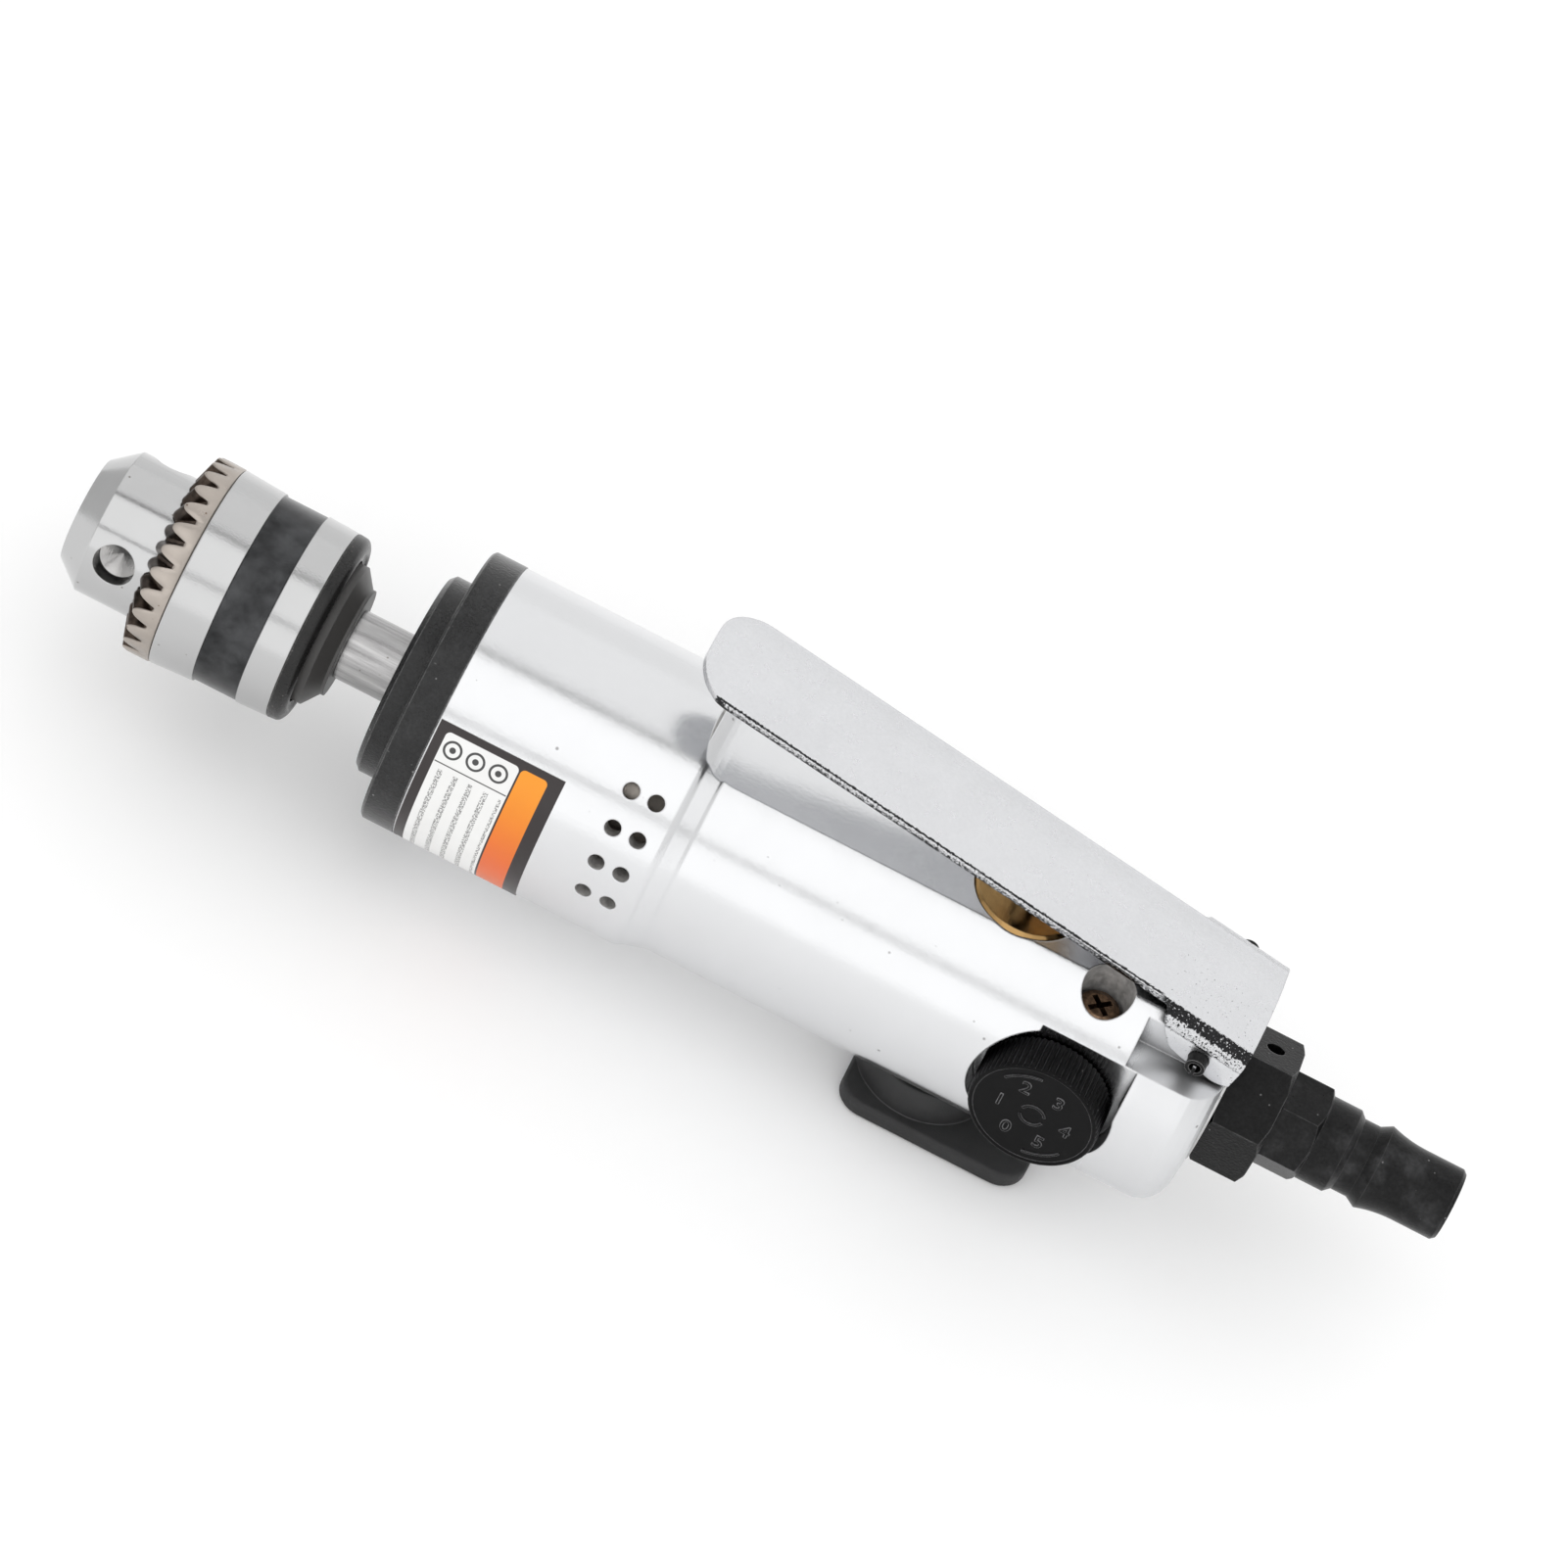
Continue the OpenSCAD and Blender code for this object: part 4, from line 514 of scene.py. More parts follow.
def finish(name, tone, metal=1.0, rough=0.25, specular=0.5, clouds=(0.05, 9.0), mottle=0.0, grain=(0.05, 0.5),
           lines=None, specks=None, hairs=None, edge=0.2, worn=None, painted_crevice_shade=True):
    """A metal or a coated or moulded surface: cloudy colour and roughness, grain and turned lines in its
    relief, specks, hair scratches, edges painted lighter as wear and as a painted highlight, and painted shade in
    crevices. Clouds, grain and lines are (amount, size), specks are (share, tone, spacing), hairs are (share,
    tone) and worn and glinting edges are (tone, share)."""
    made = Finish(name, metal, rough, specular)
    place, tree = made.place, made.tree
    base = scaled(tone, cloud(place, clouds[1], clouds[0]))
    if mottle:
        base = scaled(base, cloud(place, 0.5, mottle))
    if specks:
        mask = shared(tree, "specks", Place=place, Spacing=specks[2], Share=specks[0])[0]
        base = mixed(mask, base, specks[1])
    if hairs:
        base = mixed(shared(tree, "hairs", Place=place, Share=hairs[0])[0], base, hairs[1])
    edges = shared(tree, "edges", Radius=edge * MM)
    # Edges painted lighter: partly wear, partly a painted highlight where edges catch the light
    if worn:
        broken = times(edges["Mask"], worn[1], cloud(place, 1.3, 1.6))
        base = mixed(clamped(broken), base, worn[0])
    # Painted shade: the base colour is darkened in crevices by the ambient occlusion factor
    if painted_crevice_shade:
        base = scaled(base, edges["Open"])
    made.set("Base Color", base)
    made.set("Roughness", times(cloud(place, clouds[1] * 0.35, 0.22), rough))
    relief = times(cloud(place, grain[1], 0.5), grain[0])
    if lines:
        rings = shared(tree, "lines", Place=place, Width=lines[1])[0]
        relief = maths("MULTIPLY_ADD", rings, lines[0], relief)
    bump = node(tree, "ShaderNodeBump", {"Strength": 1.0, "Distance": 0.00004, "Height": relief,
                                         "Normal": edges["Normal"]})
    made.set("Normal", bump.outputs[0])
    return made


ROUND_AXIS, LEVEL = (0.0, 1.0, 1.0), (1.0, 1.0, 0.0)    # the axes that count for a radius and for a plan view


def ring_finish():
    """Tooth ring: satin steel on its rim, dark and brownish on the slanted front between the teeth."""
    made = finish("Tooth ring steel", tones().teeth, rough=0.30, clouds=(0.12, 3.0), grain=(0.5, 0.35),
                  specks=(0.30, (0.16, 0.11, 0.08), 1.6), edge=0.10)
    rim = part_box("chuck_gear_ring")[1][1] / MM
    open_front = faded(distance(made.place, ROUND_AXIS), rim - 0.30, rim - 0.14, 1.0, 0.0)
    made.cover(open_front, scaled((0.080, 0.060, 0.048), cloud(made.place, 1.4, 1.2)))
    return made


def housing_finish():
    """Housing: polished, but for its rear end, which is blasted matt, and for its exhaust holes and the sink
    of its screw, which are left as drilled."""
    made = finish("Housing aluminium", tones().aluminium, rough=0.20, clouds=(0.022, 9.0), grain=(0.34, 0.7),
                  specks=(0.07, 0.34, 2.6), hairs=(0.03, (0.50, 0.50, 0.51)), edge=0.4)
    x, _, z = split(made.place)
    row = times(maths("GREATER_THAN", x, EXHAUST[0]), maths("LESS_THAN", x, EXHAUST[1]))
    holes = times(row, maths("LESS_THAN", distance(made.place, ROUND_AXIS), EXHAUST_FLOOR))
    low, high = box_mm("retaining_screw")
    screw = (low + high) / 2
    beside = distance(vectors("ADD", made.place, (-screw[0], -screw[1], 0.0))[0], LEVEL)
    sink = times(maths("LESS_THAN", beside, SCREW_SINK), maths("GREATER_THAN", z, 0.0))
    drilled = maths("MAXIMUM", holes, sink)
    made.cover(drilled, scaled((0.42, 0.41, 0.40), cloud(made.place, 1.1, 0.8)))
    made.dull(drilled, 0.8)
    made.roughen(maths("MAXIMUM", faded(x, *MATT_REAR), drilled), 0.24)
    return made


def sheet_finish():
    """Lever: plated sheet with a painted dark shade line, broken, along its bent edge, and crinkled plating round
    the ear's fold with painted shade, dark and broken above and lighter below; the shade is painted on the near
    side only."""
    made = finish("Lever sheet", tones().sheet, rough=0.26, clouds=(0.045, 6.0), mottle=0.07,
                  grain=(0.08, 0.4), edge=0.18)
    ear_x = JOINTS["lever_press"]["pos_m"][0] / MM - 9.0
    blade, outer = sizes().blade_half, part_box("throttle_lever")[1][1] / MM
    x, y, _ = split(made.place)
    side = maths("ABSOLUTE", y)
    ragged = cloud(made.place, 0.36, 1.0)
    crinkled = maths("SUBTRACT", ragged, 1.0)
    at = maths("MULTIPLY_ADD", crinkled, 0.42, side)
    ear = faded(x, ear_x - 0.6, ear_x + 0.6)
    rim = times(faded(at, blade - 0.62, blade - 0.45), faded(at, blade - 0.2, blade, 1.0, 0.0),
                maths("SUBTRACT", 1.0, ear))
    # The share of the fold that is painted dark as shade: most of its upper half, a little of its lower half, none
    # past it
    into_fold = faded(side, outer - 2.9, outer - 2.4)
    share = times(into_fold, faded(side, outer - 1.0, outer - 0.7, 1.0, 0.36),
                  faded(side, outer - 0.12, outer - 0.02, 1.0, 0.0))
    fold = faded(maths("MULTIPLY_ADD", share, 0.62, maths("SUBTRACT", crinkled, 0.36)), -0.04, 0.04)
    # Painted shade: the dark edge line and the dark fold go on the near (-Y) side only
    painted_shade_side = maths("LESS_THAN", y, 0.0)
    dark = times(maths("MAXIMUM", rim, times(fold, ear)), times(painted_shade_side, 0.98))
    made.cover(clamped(dark), (0.016, 0.016, 0.017))
    bump = made.now("Normal").node
    in_fold = times(into_fold, faded(side, outer - 0.1, outer - 0.02, 1.0, 0.0))
    crinkle = times(times(ragged, 4.0), in_fold)
    height = bump.inputs["Height"]
    put(height, maths("MULTIPLY_ADD", crinkle, ear, height.links[0].from_socket))
    return made


def nose_finish(steel):
    """Chuck body: ground steel, painted dark behind the sleeve as a painted reflection of the dark parts beside
    it.
    """
    made = finish("Nose steel", tones().steel, rough=0.14, lines=(0.2, 0.12), **steel)
    # Painted reflection: the tail is painted dark, duller and rougher where it would mirror the dark parts beside
    # it
    painted_dark_tail = faded(split(made.place)[0], *NOSE_TAIL)
    made.cover(painted_dark_tail, (0.060, 0.058, 0.056))
    made.dull(painted_dark_tail, 0.85)
    made.roughen(painted_dark_tail, 0.25)
    return made


def neck_finish():
    """Spindle: drawn steel with lengthwise streaks round its neck."""
    made = finish("Neck steel", (0.39, 0.386, 0.385), rough=0.22, clouds=(0.06, 3.0), grain=(0.35, 0.4),
                  specks=(0.2, (0.12, 0.10, 0.09), 1.5), edge=0.2)
    drawn = vectors("MULTIPLY", made.place, (0.06, 1.0, 1.0))[0]
    made.set("Base Color", scaled(made.now("Base Color"), cloud(drawn, 0.95, 0.85)))
    return made


def plug_finish():
    """Plug: black oxide with a painted soft grey sheen in patches, standing in for gloss highlights."""
    made = finish("Plug oxide", (0.0070, 0.0070, 0.0072), metal=0.0, rough=0.30, specular=0.16,
                  clouds=(0.9, 2.0), mottle=0.9, grain=(1.2, 0.45), specks=(0.3, 0.20, 1.5), edge=0.25,
                  worn=(0.12, 0.6))
    # Painted sheen: grey patches stand in for gloss highlights
    painted_sheen = faded(cloud(made.place, 7.5, 1.0), 0.92, 1.60)
    made.cover(painted_sheen, scaled((0.062, 0.062, 0.064), cloud(made.place, 0.6, 0.8)))
    return made


def sleeve_finish():
    """Sleeve: turned steel with a blackened band between two stations along X."""
    made = finish("Sleeve steel", tones().steel, rough=0.16, clouds=(0.025, 6.0), grain=(0.45, 0.3),
                  lines=(0.12, 0.16), specks=(0.10, (0.24, 0.22, 0.20), 2.2), edge=0.2,
                  worn=((0.85, 0.85, 0.84), 0.5))
    half = (BAND[1] - BAND[0]) / 2
    off = maths("ABSOLUTE", maths("SUBTRACT", split(made.place)[0], sum(BAND) / 2))
    inside = faded(off, half - 0.01, half + 0.15, 1.0, 0.0)
    made.cover(inside, scaled(tones().band, cloud(made.place, 3.6, 1.3)))
    made.dull(inside, 0.2)
    made.roughen(inside, 0.10)
    return made


def label_finish(span, wide):
    """Label film by its own UV map in millimetres: a dark border, a coloured band that turns redder
    downwards, and a light field with three ringed dots, a rule and broken grey rows that spell nothing."""
    made = Finish("Label film", 0.0, 0.34)
    c, s = tones(), sizes()
    uv = node(made.tree, "ShaderNodeUVMap", uv_map="Label").outputs[0]
    u0, u1 = 1.55, wide - s.label_border - s.label_band - 0.6
    v0 = 0.62 * s.label_border
    v1 = span - v0

    def field(left, right, low, high, corner):
        return shared(made.tree, "field", Place=uv, Centre=((left + right) / 2, (low + high) / 2, 0.0),
                      Half_size=((right - left) / 2, (high - low) / 2, 1.0), Corner=corner)[0]

    def disc(u, v, r):
        return field(u - r, u + r, v - r, v + r, r)

    u, v, _ = split(uv)
    base = mixed(field(u0, u1, v0, v1, 0.8), c.label_border, c.label_field)
    band = mixed(faded(v, 0.35 * span, span), c.label_band_low, c.label_band)
    base = mixed(field(u1 + 0.3, wide - s.label_border - 0.3, v0, v1, 0.8), base, band)
    rows = faded(maths("SINE", times(u, 2 * math.pi / 2.5)), 0.45, 0.62)
    block = field(u0 + 0.6, u1 - 0.4, v0 + 0.8, v1 - 6.0, 0.1)
    ink = times(rows, block, faded(cloud(uv, 0.26, 1.0), 0.94, 1.02))
    base = mixed(times(ink, 0.75), base, 0.08)
    base = mixed(field(u0 + 0.1, u1 - 0.1, v1 - 5.1, v1 - 4.9, 0.05), base, 0.06)
    for k in range(3):
        at = u0 + 1.95 + k * (u1 - u0 - 4.5) / 2, v1 - 2.4
        ring = maths("SUBTRACT", disc(*at, 1.5), disc(*at, 1.12))
        base = mixed(maths("ADD", ring, disc(*at, 0.5)), base, 0.05)
    clouds = cloud(made.place, 5.0, 0.05)
    made.set("Base Color", scaled(base, clouds))
    made.set("Roughness", times(clouds, 0.34))
    made.set("Normal", node(made.tree, "ShaderNodeBump", {"Strength": 0.5, "Distance": 0.00003,
                                                          "Height": cloud(made.place, 2.5, 0.5)}).outputs[0])
    return made.material


def stage_finish(name, tone, size, amount):
    """Matt paint with the faintest unevenness, for the floor and the cards."""
    made = Finish(name, 0.0, 0.9, specular=0.0)
    made.set("Base Color", scaled((tone,) * 3, cloud(made.place, size, amount)))
    return made


def finishes():
    """The materials of the slots by slot name, and of some nodes by "node" and their name, made once."""
    if "slots" in GLOSS:
        return GLOSS["slots"]
    c = tones()
    steel = dict(clouds=(0.03, 6.0), grain=(0.22, 0.35), specks=(0.12, (0.16, 0.14, 0.12), 2.2),
                 hairs=(0.02, (0.3, 0.29, 0.28)), edge=0.25, worn=((0.80, 0.80, 0.79), 0.35))
    made = {
        "polished_aluminium": finish(
            "Polished aluminium", c.aluminium, rough=0.20, clouds=(0.022, 9.0), grain=(0.34, 0.5), edge=0.4),
        "motor_aluminium": finish(
            "Machined aluminium", (0.46, 0.42, 0.38), rough=0.36, clouds=(0.3, 2.0), lines=(0.6, 0.12),
            edge=0.15, painted_crevice_shade=False),
        "black_oxide": finish(
            "Black oxide", c.oxide, metal=0.0, rough=0.20, specular=0.36, clouds=(0.9, 2.8), mottle=1.0,
            grain=(2.2, 0.45), specks=(0.30, 0.20, 1.5), hairs=(0.12, 0.08), edge=0.36, worn=(0.20, 0.8)),
        "ground_steel": finish("Ground steel", c.steel, rough=0.17, lines=(0.25, 0.18), **steel),
        "sleeve_steel": sleeve_finish(),
        "ring_steel": ring_finish(),
        "gear_steel": finish(
            "Gear steel", (0.36, 0.36, 0.37), rough=0.33, clouds=(0.12, 9.0), grain=(0.3, 0.5), edge=0.12),
        "bearing_steel": finish(
            "Bearing steel", (0.66, 0.665, 0.68), rough=0.16, clouds=(0.04, 9.0), edge=0.1),
        "plated_sheet": sheet_finish(),
        "pin_black": finish(
            "Pin black", (0.008,) * 3, metal=0.0, rough=0.4, specular=0.15, grain=(1.2, 0.3), edge=0.16,
            worn=(0.30, 0.9)),
        "brass": finish(
            "Brass", c.brass, rough=0.15, clouds=(0.16, 3.0), lines=(0.4, 0.2),
            specks=(0.1, (0.25, 0.14, 0.05), 1.4), edge=0.25, worn=((0.80, 0.58, 0.30), 1.0)),
        "bronzed_screw": finish(
            "Bronzed steel", c.bronze, metal=0.9, rough=0.32, clouds=(1.1, 1.3), mottle=1.0, grain=(0.6, 0.5),
            specks=(0.4, (0.03, 0.02, 0.015), 0.9), edge=0.12, worn=((0.42, 0.28, 0.18), 1.0)),
        "black_plastic": finish(
            "Knob plastic", c.knob, metal=0.0, rough=0.34, specular=0.09, clouds=(0.3, 2.5),
            grain=(0.45, 0.45), specks=(0.10, 0.14, 1.5), edge=0.16, worn=((0.22, 0.22, 0.225), 0.9)),
        "dark_plastic": finish(
            "Tab plastic", c.tab, metal=0.0, rough=0.50, specular=0.24, clouds=(0.2, 5.0), grain=(1.6, 0.25),
            edge=0.3, worn=((0.09, 0.09, 0.092), 1.0)),
        "rear_ring_black": finish(
            "Ring black", (0.012, 0.0117, 0.0115), metal=0.0, rough=0.28, specular=0.32, clouds=(0.4, 3.0),
            grain=(0.4, 0.5), specks=(0.25, (0.11, 0.10, 0.09), 1.3), hairs=(0.12, (0.16, 0.15, 0.15)),
            edge=0.3, worn=((0.50, 0.49, 0.48), 1.0), painted_crevice_shade=False),
        "seal_rubber": finish(
            "Seal rubber", (0.02,) * 3, metal=0.0, rough=0.6, clouds=(0.2, 9.0), grain=(0.8, 0.5)),
        "felt": finish(
            "Felt", (0.22, 0.20, 0.17), metal=0.0, rough=0.95, specular=0.1, clouds=(0.25, 1.0),
            grain=(3.0, 0.2)),
        "vane_resin": finish(
            "Vane resin", (0.22, 0.13, 0.06), metal=0.0, rough=0.5, clouds=(0.3, 1.5), grain=(0.9, 0.5)),
        "node air_plug": plug_finish(),
        "node chuck_body": nose_finish(steel),
        "node spindle": neck_finish(),
        "node housing": housing_finish(),
        "node inlet_bushing": finish(
            "Forged oxide", (0.0060, 0.0060, 0.0062), metal=0.0, rough=0.34, specular=0.15, clouds=(0.9, 1.6),
            mottle=1.2, grain=(2.2, 0.45), specks=(0.3, 0.15, 1.5), hairs=(0.10, 0.07), edge=0.3,
            worn=(0.13, 0.8)),
        "node motor_cylinder": finish(
            "Motor cylinder", (0.40, 0.36, 0.32), metal=0.3, rough=0.5, clouds=(0.5, 1.5), edge=0.12,
            painted_crevice_shade=False),
    }
    GLOSS["slots"] = {key: value.material for key, value in made.items()}
    GLOSS["slots"]["node lever_pin"] = GLOSS["slots"]["pin_black"]
    return GLOSS["slots"]


# Operators, one for each piece or group of like pieces


class DRILL_OT_finishes(bpy.types.Operator):
    """Give every solid of the part the finish of its slot, or its own"""

    bl_idname = "drill.finishes"
    bl_label = "Finish Solids"

    def execute(self, context):
        build_groups()
        slots = finishes()
        for sub in frame["record"]["subparts"]:
            by_slot = slots.get(sub["material_slot"], slots["dark_plastic"])
            solid = NODES[sub["node"]]
            solid.data.materials.clear()
            solid.data.materials.append(slots.get("node " + sub["node"], by_slot))
        return {"FINISHED"}


class DRILL_OT_chuck_rings(bpy.types.Operator):
    """Make the chuck's toothed ring, sleeve and rear ring"""

    bl_idname = "drill.chuck_rings"
    bl_label = "Chuck Rings"

    def execute(self, context):
        s = sizes()
        low, high = box_mm("chuck_gear_ring")
        x0, x1, rim = low[0], high[0], max(high[1:])
        inner = rim - 4.4
        # Rows run from the bore, up the slanted front and over the rim to the back. A tooth's tip stands
        # forward of a valley, and in between the point is valley + (tip - valley) * height.
        slant = np.linspace(0, 1, 9)[:, None]
        tip_in, tip_out = np.array([x0, inner + 0.5]), np.array([x0 + 1.25, rim - 0.2])
        low_in = np.array([x0 + 0.8, inner + 0.2])
        low_out = np.array([x0 + 1.25 + s.valley_depth, rim - 0.12])
        back = [[x1 - 0.25, rim], [x1, rim - 0.25], [x1, inner]]
        tip = np.concatenate([[[x0 + 0.5, inner], [x0 + 0.12, inner + 0.15]],
                              tip_in + (tip_out - tip_in) * slant,
                              [[x0 + 1.38, rim - 0.05], [x0 + 1.55, rim]], back])
        valley = np.concatenate([[[x0 + 1.2, inner], [x0 + 0.9, inner + 0.06]],
                                 low_in + (low_out - low_in) * slant,
                                 [[low_out[0] + 0.10, rim - 0.03], [low_out[0] + 0.22, rim]], back])
        per_tooth = 30
        cols = s.tooth_count * per_tooth
        a = np.arange(cols) * 2 * np.pi / cols
        across = (np.arange(cols) % per_tooth) / per_tooth * 2 - 1
        # A tooth is a tongue of height 1 - u^2.4, with u the distance from its middle over its half width.
        height = 1 - np.clip(np.abs(across) / s.tooth_share, 0, 1) ** 2.4
        p = valley[:, None] + (tip - valley)[:, None] * height[None, :, None]
        ring = piece("tooth_ring", swept("X", 0, p[..., 1], a, p[..., 0], "loop"), "sleeve", "ring_steel", 50)
        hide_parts("chuck_gear_ring")

        low, high = box_mm("chuck_sleeve")
        x0, x1, big = low[0], high[0], max(high[1:])
        small, dark = big - 0.55, big - 0.75
        outline = [[x0, big - 3], [x0, big], [BAND[0] - 0.08, small + 0.12], [BAND[0], dark], [BAND[1], dark],
                   [BAND[1] + 0.08, small], [x1, small - 0.2], [x1, big - 3]]
        shell = turned_ring(outline, [0, 0.3, 0.1, 0.1, 0.1, 0.1, 0.25, 0])
        sleeve = piece("sleeve_shell", shell, "sleeve", "sleeve_steel")
        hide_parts("chuck_sleeve")

        low, high = box_mm("chuck_rear_ring")
        x0, x1, big = REAR_RING_FRONT, high[0], max(high[1:])
        outline = [[x0, 11.9], [x0, big], [x1 - 0.7, big - 0.15], [x1, big - 1.3], [x1, 13.2],
                   [x1 - 0.35, 12.9], [x1 - 0.35, 11.9]]
        shell = turned_ring(outline, [0, 0.2, 0.6, 0.6, 0.15, 0.12, 0])
        rear = piece("rear_ring_shell", shell, "sleeve", "rear_ring_black")
        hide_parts("chuck_rear_ring")
        return {"FINISHED"}


class DRILL_OT_key_holes(bpy.types.Operator):
    """Make the drilled, conical floors of the chuck's key holes"""

    bl_idname = "drill.key_holes"
    bl_label = "Key Hole Floors"

    def execute(self, context):
        steel = finish("Drilled steel", (0.62, 0.61, 0.60), rough=0.16, clouds=(0.05, 1.5), grain=(0.3, 0.5),
                       lines=(0.5, 0.3), edge=0.1)
        holes = [m for m in frame["record"]["mounts"] if m["name"].startswith("key_hole")]
        if not holes:
            raise RuntimeError("the record names no key holes")
        k = KEY_HOLE
        profile = np.array([[0.02, k.floor], [k.reach, k.floor], [k.reach, k.floor + k.rise],
                            [0.02, k.floor + 0.05]])
        r, h = profile[:, :1, None], profile[:, 1:, None]
        a = circle(64)[..., None]
        shells = []
        for hole in holes:
            # Out along the hole's own direction, with X and a third axis across it:
            # out * h + r (x cos a + third sin a)
            centre = np.array(hole["pos_m"], float) / MM
            along = np.array([1.0, 0.0, 0.0])
            out = centre * (1 - along)
            out = out / np.linalg.norm(out)
            third = np.cross(out, along)
            points = centre * along + out * h + r * (along * np.cos(a) + third * np.sin(a))
            shells.append((points, quads(4, a.size, wrap_rows=True)))
        piece("key_hole_floors", joined(*shells), "chuck_and_spindle", "ground_steel", 30, steel.material)
        return {"FINISHED"}


def lever_section(w, s, outer):
    """A point of the lever's section at the developed distance w from its middle: along the crown's arc
    first, then round the fold, then straight down."""
    side, w = np.sign(w), np.abs(w)
    start = outer - s.fold
    top = np.sqrt(s.crown ** 2 - np.minimum(w, start) ** 2) - s.crown + LEVER.lift + s.sheet
    turn = np.clip((w - start) / s.fold, 0, np.pi / 2)
    y = np.minimum(w, start) + s.fold * np.sin(turn)
    z = top - s.fold * (1 - np.cos(turn)) - np.maximum(w - start - s.fold * np.pi / 2, 0)
    return side * y, z


def lever_half_width(x, s, outer):
    """Half the blank's width at stations from the pin, and how far the ear has come in: a quarter circle at
    the tip, the blade's half width, then the ear's lower edge, a smoothed line through a few heights."""
    start = outer - s.fold
    into = np.minimum(x - LEVER.front, s.tip_corner)
    tip = s.blade_half - s.tip_corner + np.sqrt(np.maximum(s.tip_corner ** 2 - (s.tip_corner - into) ** 2, 0))
    fold_end = np.sqrt(s.crown ** 2 - start ** 2) - s.crown + LEVER.lift + s.sheet - s.fold
    stations = [-s.ear_front - 0.2, -s.ear_front + 0.5, -4.6, -2.0, 3.6, 5.2, LEVER.rear]
    heights = [2.2, 1.2, -1.2, -1.75, -s.ear_drop, -1.95, -1.2]
    smooth = np.mean([np.interp(x + d, stations, heights) for d in np.linspace(-0.5, 0.5, 9)], 0)
    ear = start + s.fold * np.pi / 2 + fold_end - smooth
    rise = np.clip((x + s.ear_front + 1.6) / 2.0, 0, 1)
    rise = rise * rise * (3 - 2 * rise)
    return np.where(rise > 0, s.blade_half + (ear - s.blade_half) * rise, tip), rise


class DRILL_OT_lever(bpy.types.Operator):
    """Make the throttle lever from one folded sheet"""

    bl_idname = "drill.lever"
    bl_label = "Throttle Lever"

    def execute(self, context):
        s = sizes()
        low, high = box_mm("throttle_lever")
        pin, outer = np.array(JOINTS["lever_press"]["pos_m"]) / MM, high[1]
        before_ear = -s.ear_front - 3.5
        x = np.concatenate([np.linspace(0, s.tip_corner, 22) ** 2 / s.tip_corner + LEVER.front,
                            np.linspace(LEVER.front + s.tip_corner, before_ear, 40)[1:],
                            np.linspace(before_ear, LEVER.rear, 64)[1:]])
        half, rise = lever_half_width(x, s, outer)
        x, on_ear = x[:, None], rise[:, None] > 0.5
        w = half[:, None] * np.linspace(-1, 1, 81)[None, :]
        y, z = lever_section(w, s, outer)
        # Small unevenness of the pressed fold
        past = np.abs(w) - (outer - s.fold) - s.fold * 0.8
        wave = 0.05 * np.sin(x * 4.2 + 3 * np.sin(w * 2.9)) * np.exp(-(past / 1.3) ** 2) * on_ear
        y, z = np.clip(y + np.sign(w) * wave, -outer, outer), z - 0.3 * np.abs(wave)
        ca, sa = math.cos(LEVER.tilt), math.sin(LEVER.tilt)
        points = np.stack([pin[0] + x * ca + z * sa, y, pin[2] - x * sa + z * ca], -1)
        faces = np.array(quads(*w.shape, wrap_cols=False))[:, ::-1].tolist()
        lever = piece("lever_sheet", (points, faces), "lever", "plated_sheet", 180)
        if lever.data.polygons[w.shape[1] * 10].normal.z < 0:
            lever.data.flip_normals()
        wall = lever.modifiers.new("Sheet", "SOLIDIFY")
        wall.thickness, wall.offset, wall.use_even_offset = s.sheet * MM, -1.0, True
        edge = lever.modifiers.new("Edge", "BEVEL")
        edge.width, edge.segments, edge.use_clamp_overlap = 0.28 * MM, 3, True
        edge.limit_method, edge.angle_limit = "ANGLE", math.radians(60)
        rod = swept("Y", (pin[0], 0, pin[2]), 1.62, circle(48), np.array([[-16.0], [16.0]]))
        cutter = piece("lever_cutter", rod, "lever", "plated_sheet")
        hole = lever.modifiers.new("Pin holes", "BOOLEAN")
        hole.operation, hole.object, hole.solver = "DIFFERENCE", cutter, "EXACT"
        mesh = evaluated(lever)
        lever.modifiers.clear()
        lever.data = mesh
        bpy.data.objects.remove(cutter)
        smoothed(mesh, 40)
        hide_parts("throttle_lever")
        return {"FINISHED"}


def raised_text(body, height, depth, place):
    """Points and faces of a plain numeral that lies in X and Z with its front toward -Y."""
    curve = bpy.data.curves.new("numeral", "FONT")
    curve.body, curve.size, curve.extrude = body, height * MM, depth * MM
    curve.align_x, curve.align_y = "CENTER", "CENTER"
    curve.resolution_u, curve.offset = 4, 0.012 * height * MM
    holder = bpy.data.objects.new("numeral", curve)
    bpy.context.scene.collection.objects.link(holder)
    bpy.context.view_layer.update()
    mesh = evaluated(holder)
    co = np.zeros(len(mesh.vertices) * 3)
    mesh.vertices.foreach_get("co", co)
    x, y, z = co.reshape(-1, 3).T / MM
    faces = [list(face.vertices) for face in mesh.polygons]
    bpy.data.objects.remove(holder)
    bpy.data.meshes.remove(mesh)
    return np.stack([x + place[0], place[1] - z, y + place[2]], -1), faces


def raised_arc(centre, radius, start, end, width, depth, steps=20):
    """A thin raised arc on the knob's face: four rails along it, joined all round and closed at both ends."""
    a = np.radians(np.linspace(start, end, steps))[:, None]
    r = radius + np.array([[-1, 1, 1, -1]]) * width / 2
    return swept("Y", centre, r, a, np.array([[0, 0, -1, -1]]) * depth)


